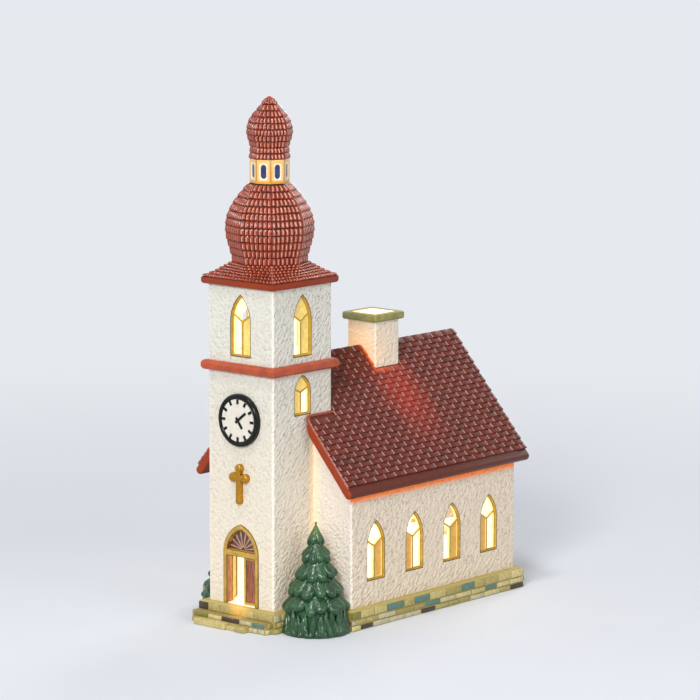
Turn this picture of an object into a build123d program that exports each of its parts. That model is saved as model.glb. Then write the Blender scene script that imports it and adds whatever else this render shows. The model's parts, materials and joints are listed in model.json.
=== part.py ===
from build123d import *
from math import cos, radians, sin, tan
import os

os.makedirs("parts", exist_ok=True)

# Porcelain
wall = 3.2                   # thickness of the slip-cast porcelain
wall_edge_round = 0.8        # soft upright corners of the walls
seat_gap = 0.05              # room round a piece that is set into a shaped hole
cut_over = 2.0               # how far every cut runs past the face that it leaves

# Base of laid stone
plinth_height = 9.6
plinth_margin = 3.3          # how far the stones stand out from the walls
plinth_bevel = 0.8
floor_thickness = 4.0
foot_height = 5.2            # lower courses under the tower
foot_margin_left = 4.2       # beside the tower
foot_margin_right = 1.2
foot_front = 6.9             # in front of the tower
step_width = 31.0            # worn slab before the door
step_depth = 4.6
step_height = 3.0
step_shift = 4.0             # the slab lies to the left of the door
step_round = 0.8

# Nave
nave_length = 118.5
nave_width = 85.3
nave_wall_height = 54.3      # from the base to the roof, at the side walls
roof_pitch = 49.4            # degrees
roof_thickness = 4.0
eave_overhang = 5.85
front_overhang = 6.3
back_overhang = 5.1
roof_edge_round = 1.9        # round nose of the eave
roof_corner_round = 3.2      # where the verge runs into the tower

# Nave windows
nave_window_count = 4
nave_window_first = 17.3     # from the front wall to the first window's middle
nave_window_pitch = 27.3
nave_window_width = 12.9
nave_window_height = 27.9
nave_window_rise = 10.8      # from the base to the sill

# Tower
tower_width = 39.6
tower_projection = 27.1      # in front of the nave
light_arch_width = 25.0      # opening that lets the lamp light the tower
light_arch_height = 52.0
belfry_window_width = 12.6
belfry_window_height = 28.6
belfry_window_rise = 5.1     # from the middle of the band to the sill
belfry_head = 3.2            # from the window's point to the top of the wall
lower_window_width = 11.6
lower_window_height = 18.6
lower_window_clear = 0.3     # from the nave roof to the sill

# Window tracery
window_recess = 0.1          # edge of the lining behind the face of the wall
window_depth = 2.2
window_lining = 0.5          # thickness of the lining round the sunk tracery
tracery_recess = 1.1         # tracery behind the edge of the lining
window_rim = 1.2
window_bar = 1.0
pane_recess = 0.4            # blind light behind the tracery
spring_share = 0.55          # of the window's height, where the pointed arch starts
fork_share = 0.56            # of the height, where the middle bar forks
arms_share = 0.70            # of the height, where the fork meets the rim

# Band and skirt of the tower
band_drop = 1.1              # middle of the band below the ridge
band_height = 4.7
band_out = 2.5
band_round = 1.9
skirt_out = 2.25
skirt_edge = 3.0
skirt_lip_round = 1.4
skirt_rise = 6.7
skirt_waist_share = 0.34     # of the rise, where the flare bends
skirt_corner_share = 0.80    # of the corner's reach, at that bend
skirt_side_share = 0.86      # of the side's reach, at that bend

# Eight-sided onion domes and the lantern between them
facets = 8
dome_height = 36.0
dome_radius = 20.0           # to the corners of the eight sides
dome_shares = [(0, 0.835), (0.20, 0.92), (0.42, 1), (0.62, 0.94), (0.79, 0.77), (0.90, 0.615), (1, 0.44)]
lantern_height = 10.9
lantern_radius = 9.0
lantern_window_width = 2.7
lantern_window_height = 6.4
lantern_window_depth = 0.6
lantern_pane = 0.3
top_height = 27.8
top_radius = 10.3
top_shares = [(0, 0.888), (0.065, 0.88), (0.194, 0.835), (0.417, 1), (0.583, 0.932), (0.709, 0.738), (0.82, 0.47),
              (0.924, 0.252), (1, 0.06)]

# Chimney
chimney_setback = 64.8       # from the nave's front wall
chimney_width = 17.1
chimney_rise = 11.5          # of the stack above the ridge
chimney_cap_width = 21.0
chimney_cap_height = 3.6
chimney_cap_round = 0.7
flue_width = 14.2

# Clock
clock_diameter = 24.2
clock_gap_share = 0.30       # of the free height between door and band, from the cross to the clock
clock_ring_width = 2.4
clock_ring_out = 2.4
clock_ring_round = 1.0
clock_dial_out = 2.0
clock_mark_count = 12
clock_mark_length = 2.1
clock_mark_width = 1.2
clock_mark_out = 0.25
minute_hand_length = 6.2
hour_hand_length = 4.4
hand_tail = 1.7
hand_width = 1.25
minute_hand_angle = 52.0     # degrees clockwise from twelve
hour_hand_angle = 142.0

# Cross
cross_height = 18.6
cross_gap_share = 0.357      # of the free height between door and band, from the door to the cross
cross_span = 11.4
cross_bar = 3.5
cross_out = 2.6
cross_round = 0.9
cross_arm_share = 0.66       # of the height, where the arms cross

# Door
door_width = 21.7
door_height = 37.5
door_spring_share = 0.63     # of the height, where the pointed arch starts
door_jamb = 2.3
door_frame_depth = 3.5
door_frame_out = 0.4
transom_height = 3.0
transom_share = 0.635        # of the door's height, at the middle of the transom
fanlight_recess = 2.0
fanlight_thickness = 1.2
leaf_recess = 2.1
leaf_thickness = 1.3
leaf_border = 1.5
leaf_panel_recess = 0.4
leaf_swing = 117.0           # degrees, how far the left leaf stands open

# Fir trees
tree_height = 50.5
tree_radius = 16.2
left_tree_share = 0.64       # size of the smaller tree on the left
tree_stand = 12.3            # from the tower's side and from the nave's front wall
tier_radius_shares = [0.27, 0.49, 0.65, 0.85, 0.99]
tier_level_shares = [0.83, 0.68, 0.52, 0.372, 0.24]
notch_radius_shares = [0.21, 0.40, 0.55, 0.73, 0.84]
notch_level_shares = [0.797, 0.632, 0.471, 0.317, 0.184]

# Lamp holder in the rear gable
lamp_rise = 26.4             # from the base to the lamp's axis
lamp_hole_diameter = 32.0
lamp_flange_diameter = 39.0
lamp_flange_thickness = 2.4
lamp_flange_gap = 0.2
lamp_barrel_diameter = 24.0
lamp_barrel_length = 26.0
lamp_boss_diameter = 18.0
lamp_boss_length = 9.0
shell_bore = 12.3
shell_thickness = 0.4
shell_length = 15.0
shell_floor = 10.0           # from the wall's outer face in to the bottom of the socket
contact_diameter = 6.0
contact_thickness = 0.8
clip_thickness = 0.5
clip_width = 8.0
clip_grip = 2.0              # how far a clip's knee reaches behind the rim of the hole
clip_room = 1.2              # between the clip and the hole
clip_back = 0.5              # between the clip's knee and the inside of the wall
clip_rise = 2.2
clip_foot = 4.0              # flat end on the barrel
gland_diameter = 10.0
gland_length = 12.0
gland_sunk = 6.0
cord_bore = 5.0

# Screw-in bulb
bulb_length = 54.0
bulb_diameter = 22.0
bulb_glass_wall = 0.6
cap_diameter = 11.9
cap_length = 15.0
cap_wall = 0.5
neck_radius_share = 0.46     # of the bulb's largest radius, at the cap
bulb_shares = [(0.12, 0.60), (0.26, 0.90), (0.40, 1), (0.56, 0.93), (0.74, 0.71), (0.90, 0.37)]
tip_diameter = 4.4
tip_length = 1.8
stem_diameter = 5.0
stem_length = 12.0
filament_diameter = 0.6
filament_height = 12.0
filament_span = 7.0

# Places that follow from the sizes
nave_half = nave_width / 2
tower_half = tower_width / 2
tower_inner = tower_width - 2 * wall
base_length = nave_length + tower_projection + foot_front + plinth_margin
nave_back = base_length / 2 - plinth_margin
nave_front = nave_back - nave_length
nave_middle = (nave_front + nave_back) / 2
tower_front = nave_front - tower_projection
tower_axis = tower_front + tower_half
tower_back = tower_front + tower_width
chimney_axis = nave_front + chimney_setback
slope = tan(radians(roof_pitch))
roof_half = nave_half + eave_overhang
roof_drop = roof_thickness / cos(radians(roof_pitch))
ridge_height = plinth_height + nave_wall_height + nave_half * slope + roof_drop
chimney_top = ridge_height + chimney_rise
band_level = ridge_height - band_drop
nave_window_sill = plinth_height + nave_window_rise
lower_window_sill = ridge_height - tower_half * slope + lower_window_clear
belfry_window_sill = band_level + belfry_window_rise
tower_top = belfry_window_sill + belfry_window_height + belfry_head
skirt_top = tower_top + skirt_edge + skirt_rise
dome_top = skirt_top + dome_height
lantern_top = dome_top + lantern_height
facet_share = cos(radians(180 / facets))
lamp_level = plinth_height + lamp_rise
door_opening = door_width - 2 * door_jamb
transom_low = plinth_height + door_height * transom_share - transom_height / 2
transom_high = transom_low + transom_height
door_head = plinth_height + door_height
front_space = band_level - band_height / 2 - door_head - cross_height - clock_diameter
cross_foot = door_head + front_space * cross_gap_share
clock_level = cross_foot + cross_height + front_space * clock_gap_share + clock_diameter / 2


def roof_over(x):
    """Height of the roof's upper side at a distance from the ridge."""
    return ridge_height - x * slope


def roof_under(x):
    """Height of the roof's lower side at a distance from the ridge."""
    return roof_over(x) - roof_drop


def right_of(half, along, level):
    """Plane on a wall that faces right, with its own x to the rear and y up."""
    return Plane(origin=(half, along, level), x_dir=(0, 1, 0), z_dir=(1, 0, 0))


def left_of(half, along, level):
    """Plane on a wall that faces left."""
    return Plane(origin=(-half, along, level), x_dir=(0, -1, 0), z_dir=(-1, 0, 0))


def front_of(y, level):
    """Plane on a wall that faces the front, with its own x to the right and y up."""
    return Plane(origin=(0, y, level), x_dir=(1, 0, 0), z_dir=(0, -1, 0))


def back_of(y, level):
    """Plane on a wall that faces the rear."""
    return Plane(origin=(0, y, level), x_dir=(-1, 0, 0), z_dir=(0, 1, 0))


def lancet(width, height, spring):
    """Pointed-arch face that stands on the sketch's x axis, with its arch springing at a height."""
    half = width / 2
    with BuildLine() as outline:
        Polyline((-half, spring), (-half, 0), (half, 0), (half, spring))
        TangentArc((half, spring), (0, height), tangent=(0, 1))
        TangentArc((-half, spring), (0, height), tangent=(0, 1))
    make_face(outline.edges())


def sloping_bar(start, end, thickness):
    """Straight bar of a vertical thickness between two points of a sketch."""
    lift = thickness / 2
    Polygon(
        (start[0], start[1] - lift),
        (end[0], end[1] - lift),
        (end[0], end[1] + lift),
        (start[0], start[1] + lift),
        align=None,
    )


def octagon_tower(base, height, radius, shares):
    """Smooth loft through eight-sided sections, each given as shares of the height and the radius."""
    sections = []
    for level_share, radius_share in shares:
        with BuildSketch(Plane((0, tower_axis, base + height * level_share))) as section:
            RegularPolygon(radius * radius_share, facets)
        sections.append(section.sketch)
    loft(sections)


def save(piece, name):
    """Label one finished piece and write its file."""
    piece.part.label = name
    export_step(piece.part, f"parts/{name}.step")


# Every window: its wall plane, size and blind lights, as seen from outside
windows = {}
for index in range(nave_window_count):
    along = nave_front + nave_window_first + index * nave_window_pitch
    size = (nave_window_width, nave_window_height)
    blind = ["left"] if index % 2 else ["right"]
    windows[f"nave_window_right_{index + 1}"] = (right_of(nave_half, along, nave_window_sill), size, blind)
    windows[f"nave_window_left_{index + 1}"] = (left_of(nave_half, along, nave_window_sill), size, blind)
belfry_size = (belfry_window_width, belfry_window_height)
lower_size = (lower_window_width, lower_window_height)
belfry_right = right_of(tower_half, tower_axis, belfry_window_sill)
belfry_left = left_of(tower_half, tower_axis, belfry_window_sill)
lower_right = right_of(tower_half, tower_axis, lower_window_sill)
lower_left = left_of(tower_half, tower_axis, lower_window_sill)
windows["belfry_window_front"] = (front_of(tower_front, belfry_window_sill), belfry_size, ["right"])
windows["belfry_window_rear"] = (back_of(tower_back, belfry_window_sill), belfry_size, ["right"])
windows["belfry_window_right"] = (belfry_right, belfry_size, ["top", "right"])
windows["belfry_window_left"] = (belfry_left, belfry_size, ["top", "right"])
windows["lower_window_right"] = (lower_right, lower_size, ["top", "left"])
windows["lower_window_left"] = (lower_left, lower_size, ["top", "left"])


def cut_windows(prefixes):
    """Cut the lancet openings of the named windows through the wall."""
    for name, (plane, (width, height), _) in windows.items():
        if name.startswith(prefixes):
            with BuildSketch(plane) as opening:
                lancet(width, height, height * spring_share)
            extrude(opening.sketch, amount=-(wall + cut_over), mode=Mode.SUBTRACT)


# Base: a cast tray of three stone courses, stepped out under the tower
with BuildPart() as base_plinth:
    with BuildSketch():
        with Locations((0, nave_middle)):
            Rectangle(nave_width + 2 * plinth_margin, nave_length + 2 * plinth_margin)
        with Locations((0, tower_axis)):
            Rectangle(tower_width + 2 * plinth_margin, tower_width + 2 * plinth_margin)
    extrude(amount=plinth_height)
    chamfer(base_plinth.faces().sort_by(Axis.Z)[-1].outer_wire().edges(), plinth_bevel)
    with BuildSketch():
        with Locations((-tower_half - foot_margin_left, tower_front - foot_front)):
            Rectangle(
                tower_width + foot_margin_left + foot_margin_right,
                tower_projection + foot_front,
                align=(Align.MIN, Align.MIN),
            )
    extrude(amount=foot_height)
    with BuildSketch(Plane.XY.offset(floor_thickness)):
        with Locations((0, nave_middle)):
            Rectangle(nave_width - 2 * wall, nave_length - 2 * wall)
        with Locations((0, tower_axis)):
            Rectangle(tower_width, tower_width, mode=Mode.SUBTRACT)
            Rectangle(tower_inner, tower_inner)
    extrude(amount=plinth_height, mode=Mode.SUBTRACT)
save(base_plinth, "base_plinth")

# Door step: one worn slab, longer on the left
with BuildPart() as door_step:
    with BuildSketch():
        with Locations((-step_shift, tower_front - foot_front)):
            Rectangle(step_width, step_depth, align=(Align.CENTER, Align.MAX))
    extrude(amount=step_height)
    fillet(door_step.edges().filter_by(Axis.Z).group_by(Axis.Y)[0], step_round)
save(door_step, "door_step")

# Nave: four walls with gables, open where the tower stands and for the lamp
with BuildPart() as nave_walls:
    with BuildSketch(Plane.XZ.offset(-nave_back)):
        with BuildLine():
            Polyline(
                (-nave_half, plinth_height),
                (nave_half, plinth_height),
                (nave_half, roof_under(nave_half)),
                (0, roof_under(0)),
                (-nave_half, roof_under(nave_half)),
                close=True,
            )
        make_face()
    extrude(amount=nave_length)
    fillet(nave_walls.edges().filter_by(Axis.Z), wall_edge_round)
    room_half = nave_half - wall
    with BuildSketch(Plane.XZ.offset(wall - nave_back)):
        with BuildLine():
            Polyline(
                (-room_half, plinth_height - cut_over),
                (room_half, plinth_height - cut_over),
                (room_half, roof_under(room_half) + cut_over),
                (0, roof_under(0) + cut_over),
                (-room_half, roof_under(room_half) + cut_over),
                close=True,
            )
        make_face()
    extrude(amount=nave_length - 2 * wall, mode=Mode.SUBTRACT)
    with BuildSketch(Plane.XY.offset(plinth_height)):
        with Locations((0, tower_axis)):
            Rectangle(tower_width, tower_width)
    extrude(amount=ridge_height, mode=Mode.SUBTRACT)
    cut_windows(("nave_window",))
    with BuildSketch(back_of(nave_back, lamp_level)):
        Circle(lamp_hole_diameter / 2)
    extrude(amount=-(wall + cut_over), mode=Mode.SUBTRACT)
save(nave_walls, "nave_walls")

# Tower: a square tube with its windows, the doorway and an arch to the nave
with BuildPart() as tower_walls:
    with BuildSketch(Plane.XY.offset(plinth_height)):
        with Locations((0, tower_axis)):
            RectangleRounded(tower_width, tower_width, wall_edge_round)
            Rectangle(tower_inner, tower_inner, mode=Mode.SUBTRACT)
    extrude(amount=tower_top - plinth_height)
    with BuildSketch(back_of(tower_back, plinth_height)):
        Rectangle(light_arch_width, light_arch_height, align=(Align.CENTER, Align.MIN))
    extrude(amount=-(wall + cut_over), mode=Mode.SUBTRACT)
    cut_windows(("belfry_window", "lower_window"))
    with BuildSketch(front_of(tower_front, plinth_height)):
        lancet(door_width, door_height, door_height * door_spring_share)
    extrude(amount=-(wall + cut_over), mode=Mode.SUBTRACT)
save(tower_walls, "tower_walls")

# Nave roof: one bent slab with rounded edges, notched round the tower and pierced under the flue
with BuildPart() as nave_roof:
    tilt = radians(roof_pitch)
    eave_low = (roof_half - roof_thickness * sin(tilt), roof_over(roof_half) - roof_thickness * cos(tilt))
    with BuildSketch(Plane.XZ.offset(-nave_back - back_overhang)):
        with BuildLine():
            Polyline(
                (0, ridge_height),
                (roof_half, roof_over(roof_half)),
                eave_low,
                (0, roof_under(0)),
                (-eave_low[0], eave_low[1]),
                (-roof_half, roof_over(roof_half)),
                close=True,
            )
        make_face()
    extrude(amount=nave_length + front_overhang + back_overhang)
    long_edges = nave_roof.edges().filter_by(Axis.Y).group_by(Axis.Z)
    fillet(long_edges[0] + long_edges[1], roof_edge_round)
    with BuildSketch(Plane.XY):
        with Locations((0, tower_axis)):
            Rectangle(tower_width, tower_width)
        with Locations((0, chimney_axis)):
            Rectangle(flue_width, flue_width)
    extrude(amount=ridge_height + cut_over, mode=Mode.SUBTRACT)
    upright_edges = nave_roof.edges().filter_by(Axis.Z).group_by(Axis.Y)
    fillet(upright_edges[0], roof_corner_round)
save(nave_roof, "nave_roof")

# Chimney: a square stack cut to straddle the ridge, and its cap
with BuildPart() as chimney_stack:
    with BuildSketch(Plane.XY.offset(roof_over(chimney_width / 2))):
        with Locations((0, chimney_axis)):
            RectangleRounded(chimney_width, chimney_width, wall_edge_round)
            Rectangle(flue_width, flue_width, mode=Mode.SUBTRACT)
    extrude(amount=chimney_top - roof_over(chimney_width / 2))
    with BuildSketch(Plane.XZ.offset(-chimney_axis)):
        with BuildLine():
            Polyline(
                (-chimney_width, roof_over(chimney_width)),
                (chimney_width, roof_over(chimney_width)),
                (0, ridge_height),
                close=True,
            )
        make_face()
    extrude(amount=chimney_width, both=True, mode=Mode.SUBTRACT)
save(chimney_stack, "chimney_stack")

with BuildPart() as chimney_cap:
    with BuildSketch(Plane.XY.offset(chimney_top)):
        with Locations((0, chimney_axis)):
            Rectangle(chimney_cap_width, chimney_cap_width)
            Rectangle(flue_width, flue_width, mode=Mode.SUBTRACT)
    extrude(amount=chimney_cap_height)
    fillet(chimney_cap.faces().sort_by(Axis.Z)[-1].outer_wire().edges(), chimney_cap_round)
save(chimney_cap, "chimney_cap")

# Tower band: a half-round moulding, notched where the ridge runs into it
with BuildPart() as tower_band:
    with BuildSketch(Plane.XY.offset(band_level - band_height / 2)):
        with Locations((0, tower_axis)):
            Rectangle(tower_width + 2 * band_out, tower_width + 2 * band_out)
    extrude(amount=band_height)
    fillet(tower_band.faces().filter_by(Axis.Z).edges(), band_round)
    with BuildSketch(Plane.XY.offset(band_level - band_height)):
        with Locations((0, tower_axis)):
            Rectangle(tower_width, tower_width)
    extrude(amount=2 * band_height, mode=Mode.SUBTRACT)
    add(nave_roof.part, mode=Mode.SUBTRACT)
save(tower_band, "tower_band")

# Skirt roof: from a square eave in a flare to the eight-sided foot of the dome
with BuildPart() as skirt_roof:
    skirt_half = tower_half + skirt_out
    eave_top = tower_top + skirt_edge
    dome_foot = dome_radius * dome_shares[0][1]
    skirt_waist = eave_top + skirt_rise * skirt_waist_share
    corner_reach = skirt_half / cos(radians(45))
    with BuildSketch(Plane.XY.offset(tower_top)):
        with Locations((0, tower_axis)):
            Rectangle(2 * skirt_half, 2 * skirt_half)
    extrude(amount=skirt_edge)
    fillet(skirt_roof.faces().sort_by(Axis.Z)[0].edges(), skirt_lip_round)
    rings = [
        (eave_top, skirt_half, corner_reach),
        (skirt_waist, skirt_half * skirt_side_share, corner_reach * skirt_corner_share),
        (skirt_top, dome_foot, dome_foot),
    ]
    for level, side_reach, corner in rings:
        with BuildSketch(Plane((0, tower_axis, level))):
            with BuildLine():
                Polyline(
                    [
                        (
                            cos(radians(turn * 360 / facets)) * (corner if turn % 2 else side_reach),
                            sin(radians(turn * 360 / facets)) * (corner if turn % 2 else side_reach),
                        )
                        for turn in range(facets)
                    ],
                    close=True,
                )
            make_face()
    loft(ruled=True)
    with BuildSketch(Plane((0, tower_axis, tower_top))):
        Circle(tower_inner / 2 - seat_gap)
    with BuildSketch(Plane((0, tower_axis, skirt_top))):
        Circle(dome_foot * facet_share - wall)
    loft(mode=Mode.SUBTRACT)
save(skirt_roof, "skirt_roof")

# Spire: hollow onion dome, lantern with sunk panes, top onion
with BuildPart() as dome_hollow:
    octagon_tower(skirt_top, dome_height - wall, dome_radius - wall / facet_share, dome_shares)

with BuildPart() as onion_dome:
    octagon_tower(skirt_top, dome_height, dome_radius, dome_shares)
    add(dome_hollow.part, mode=Mode.SUBTRACT)
save(onion_dome, "onion_dome")

lantern_faces = []
lantern_reach = lantern_radius * facet_share
for turn in range(facets):
    heading = radians((turn + 0.5) * 360 / facets)
    outward = Vector(cos(heading), sin(heading), 0)
    middle = Vector(0, tower_axis, dome_top + lantern_height / 2)
    lantern_faces.append(Plane(middle + outward * lantern_reach, x_dir=outward.rotate(Axis.Z, 90), z_dir=outward))

with BuildPart() as lantern:
    with BuildSketch(Plane((0, tower_axis, dome_top))):
        RegularPolygon(lantern_radius, facets)
        Circle(lantern_reach - wall, mode=Mode.SUBTRACT)
    extrude(amount=lantern_height)
    for plane in lantern_faces:
        with BuildSketch(plane):
            SlotOverall(lantern_window_height, lantern_window_width, rotation=90)
        extrude(amount=-lantern_window_depth, mode=Mode.SUBTRACT)
save(lantern, "lantern")

with BuildPart() as lantern_windows:
    for plane in lantern_faces:
        with BuildSketch(plane.offset(-lantern_window_depth)):
            SlotOverall(lantern_window_height - 2 * seat_gap, lantern_window_width - 2 * seat_gap, rotation=90)
    extrude(amount=lantern_pane)
save(lantern_windows, "lantern_windows")

with BuildPart() as top_onion:
    octagon_tower(lantern_top, top_height, top_radius, top_shares)
save(top_onion, "top_onion")

# Clock: a raised ring, its dial, the hour marks and the two hands
dial_radius = clock_diameter / 2 - clock_ring_width
clock_face = front_of(tower_front, clock_level)
dial_face = clock_face.offset(clock_dial_out)
with BuildPart() as clock_ring:
    with BuildSketch(clock_face):
        Circle(clock_diameter / 2)
        Circle(dial_radius, mode=Mode.SUBTRACT)
    extrude(amount=clock_ring_out)
    fillet(clock_ring.faces().sort_by(Axis.Y)[0].edges(), clock_ring_round)
save(clock_ring, "clock_ring")

with BuildPart() as clock_dial:
    with BuildSketch(clock_face):
        Circle(dial_radius - seat_gap)
    extrude(amount=clock_dial_out)
save(clock_dial, "clock_dial")

with BuildPart() as clock_hour_marks:
    with BuildSketch(dial_face):
        with PolarLocations(dial_radius - seat_gap - clock_mark_length / 2, clock_mark_count):
            Rectangle(clock_mark_length, clock_mark_width)
    extrude(amount=clock_mark_out)
save(clock_hour_marks, "clock_hour_marks")

with BuildPart() as clock_hands:
    with BuildSketch(dial_face):
        for angle, length in ((minute_hand_angle, minute_hand_length), (hour_hand_angle, hour_hand_length)):
            heading = radians(90 - angle)
            middle = (length - hand_tail) / 2
            with Locations((middle * cos(heading), middle * sin(heading))):
                Rectangle(length + hand_tail, hand_width, rotation=90 - angle)
    extrude(amount=clock_mark_out)
save(clock_hands, "clock_hands")

# Cross: a raised moulding with rounded edges
with BuildPart() as cross:
    with BuildSketch(front_of(tower_front, cross_foot)):
        Rectangle(cross_bar, cross_height, align=(Align.CENTER, Align.MIN))
        with Locations((0, cross_height * cross_arm_share)):
            Rectangle(cross_span, cross_bar)
    extrude(amount=cross_out)
    fillet(cross.faces().sort_by(Axis.Y)[0].edges(), cross_round)
save(cross, "cross")

# Door: a pointed frame with a transom, the fanlight and two leaves
door_plane = front_of(tower_front, plinth_height)
door_inset = door_jamb + seat_gap
with BuildPart() as door_frame:
    with BuildSketch(door_plane.offset(door_frame_out)):
        lancet(door_width, door_height, door_height * door_spring_share)
        offset(amount=-seat_gap, kind=Kind.INTERSECTION, mode=Mode.REPLACE)
    extrude(amount=-door_frame_depth)
    with BuildSketch(door_plane.offset(door_frame_out), mode=Mode.PRIVATE) as doorway:
        lancet(door_width, door_height, door_height * door_spring_share)
        offset(amount=-door_inset, kind=Kind.INTERSECTION, mode=Mode.REPLACE)
        Rectangle(door_opening - 2 * seat_gap, door_height * transom_share, align=(Align.CENTER, Align.MIN))
        with Locations((0, transom_low - plinth_height)):
            Rectangle(door_width, transom_height, align=(Align.CENTER, Align.MIN), mode=Mode.SUBTRACT)
    extrude(doorway.sketch, amount=-(door_frame_depth + cut_over), mode=Mode.SUBTRACT)
save(door_frame, "door_frame")

with BuildPart() as door_fanlight:
    with BuildSketch(door_plane.offset(door_frame_out - fanlight_recess)):
        lancet(door_width, door_height, door_height * door_spring_share)
        offset(amount=-door_inset - seat_gap, kind=Kind.INTERSECTION, mode=Mode.REPLACE)
        fanlight_foot = transom_high - plinth_height + seat_gap
        Rectangle(door_width, fanlight_foot, align=(Align.CENTER, Align.MIN), mode=Mode.SUBTRACT)
    extrude(amount=-fanlight_thickness)
save(door_fanlight, "door_fanlight")

leaf_width = door_opening / 2 - 2 * seat_gap
leaf_height = transom_low - plinth_height - 2 * seat_gap


def door_leaf(plane):
    """One leaf from its hinge edge along the plane's x, with a sunk panel on its outer side."""
    with BuildSketch(plane) as leaf:
        Rectangle(leaf_width, leaf_height, align=(Align.MIN, Align.MIN))
    extrude(leaf.sketch, amount=-leaf_thickness)
    with BuildSketch(plane) as panel:
        with Locations((leaf_border, leaf_border)):
            Rectangle(leaf_width - 2 * leaf_border, leaf_height - 2 * leaf_border, align=(Align.MIN, Align.MIN))
    extrude(panel.sketch, amount=-leaf_panel_recess, mode=Mode.SUBTRACT)


leaf_front = tower_front - door_frame_out + leaf_recess
leaf_foot = plinth_height + seat_gap
with BuildPart() as door_leaf_right:
    door_leaf(Plane(origin=(seat_gap, leaf_front, leaf_foot), x_dir=(1, 0, 0), z_dir=(0, -1, 0)))
save(door_leaf_right, "door_leaf_right")

with BuildPart() as door_leaf_left:
    swing = radians(leaf_swing)
    frame_rear = tower_front - door_frame_out + door_frame_depth
    hinge = (-door_opening / 2, frame_rear + seat_gap - leaf_thickness * min(0, cos(swing)), leaf_foot)
    door_leaf(Plane(origin=hinge, x_dir=(cos(swing), sin(swing), 0), z_dir=(sin(swing), -cos(swing), 0)))
save(door_leaf_left, "door_leaf_left")

# Windows: a lining with moulded tracery sunk in it, a forked bar and some lights blind
for window_name, (plane, (width, height), blind) in windows.items():
    frame_plane = plane.offset(-window_recess)
    with BuildPart() as window:
        with BuildSketch(frame_plane):
            lancet(width, height, height * spring_share)
            offset(amount=-seat_gap, kind=Kind.INTERSECTION, mode=Mode.REPLACE)
        extrude(amount=-window_depth)
        with BuildSketch(frame_plane, mode=Mode.PRIVATE) as niche:
            lancet(width, height, height * spring_share)
            offset(amount=-window_lining, kind=Kind.INTERSECTION, mode=Mode.REPLACE)
        extrude(niche.sketch, amount=-tracery_recess, mode=Mode.SUBTRACT)
        with BuildSketch(frame_plane, mode=Mode.PRIVATE) as tracery:
            lancet(width, height, height * spring_share)
            offset(amount=-window_rim, kind=Kind.INTERSECTION, mode=Mode.REPLACE)
        with BuildSketch(frame_plane, mode=Mode.PRIVATE) as bars:
            Rectangle(window_bar, height * fork_share, align=(Align.CENTER, Align.MIN))
            sloping_bar((0, height * fork_share), (width / 2, height * arms_share), window_bar)
            sloping_bar((-width / 2, height * arms_share), (0, height * fork_share), window_bar)
        lights = (tracery.sketch - bars.sketch).faces()
        upper = lights.sort_by(Axis.Z)[-1]
        sides = ShapeList(lights.sort_by(Axis.Z)[:-1]).sort_by(Axis(plane.origin, plane.x_dir))
        for light_name, light in (("top", upper), ("left", sides[0]), ("right", sides[-1])):
            depth = tracery_recess + pane_recess if light_name in blind else window_depth + cut_over
            extrude(light, amount=depth, dir=-plane.z_dir, mode=Mode.SUBTRACT)
    save(window, window_name)

# Fir trees: drooping tiers turned about the trunk, cut to fit the corner that they stand in
tiers = list(zip(tier_radius_shares, tier_level_shares, notch_radius_shares, notch_level_shares))
for tree_name, side, share in (("tree_right", 1, 1), ("tree_left", -1, left_tree_share)):
    with BuildPart() as tree:
        stand = tree_stand * share
        radius = tree_radius * share
        height = tree_height * share
        trunk = (side * (tower_half + stand), nave_front - stand, 0)
        with BuildSketch(Plane(origin=trunk, x_dir=(1, 0, 0), z_dir=(0, -1, 0))):
            with BuildLine():
                outline = [(0, 0), (0, height)]
                for tier_radius, tier_level, notch_radius, notch_level in tiers:
                    outline.append((radius * tier_radius, height * tier_level))
                    outline.append((radius * notch_radius, height * notch_level))
                outline.append((radius, 0))
                Polyline(outline, close=True)
            make_face()
        revolve(axis=Axis(trunk, (0, 0, 1)))
        add(base_plinth.part, mode=Mode.SUBTRACT)
        with BuildSketch():
            with Locations((0, tower_axis)):
                Rectangle(tower_width, tower_width)
            with Locations((0, nave_middle)):
                Rectangle(nave_width, nave_length)
        extrude(amount=tree_height, mode=Mode.SUBTRACT)
    save(tree, tree_name)

# Lamp holder: moulded housing that is clipped into the rear hole
lamp_out = back_of(nave_back, lamp_level)
flange_seat = lamp_out.offset(lamp_flange_gap)
socket_radius = shell_bore / 2 + shell_thickness + seat_gap
boss_face = lamp_flange_gap + lamp_flange_thickness + lamp_boss_length
with BuildPart() as lamp_housing:
    with BuildSketch(flange_seat):
        Circle(lamp_flange_diameter / 2)
    extrude(amount=lamp_flange_thickness)
    with BuildSketch(flange_seat):
        Circle(lamp_barrel_diameter / 2)
    extrude(amount=-lamp_barrel_length)
    with BuildSketch(flange_seat.offset(lamp_flange_thickness)):
        Circle(lamp_boss_diameter / 2)
    extrude(amount=lamp_boss_length)
    with BuildSketch(lamp_out.offset(-shell_floor)):
        Circle(socket_radius)
    extrude(amount=-lamp_barrel_length, mode=Mode.SUBTRACT)
    with BuildSketch(lamp_out.offset(boss_face)):
        Circle(gland_diameter / 2 + seat_gap)
    extrude(amount=-gland_sunk, mode=Mode.SUBTRACT)
save(lamp_housing, "lamp_housing")

with BuildPart() as lamp_screw_shell:
    with BuildSketch(lamp_out.offset(-shell_floor)):
        Circle(shell_bore / 2 + shell_thickness)
        Circle(shell_bore / 2, mode=Mode.SUBTRACT)
    extrude(amount=-shell_length)
save(lamp_screw_shell, "lamp_screw_shell")

with BuildPart() as lamp_centre_contact:
    with BuildSketch(lamp_out.offset(-shell_floor)):
        Circle(contact_diameter / 2)
    extrude(amount=-contact_thickness)
save(lamp_centre_contact, "lamp_centre_contact")

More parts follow.
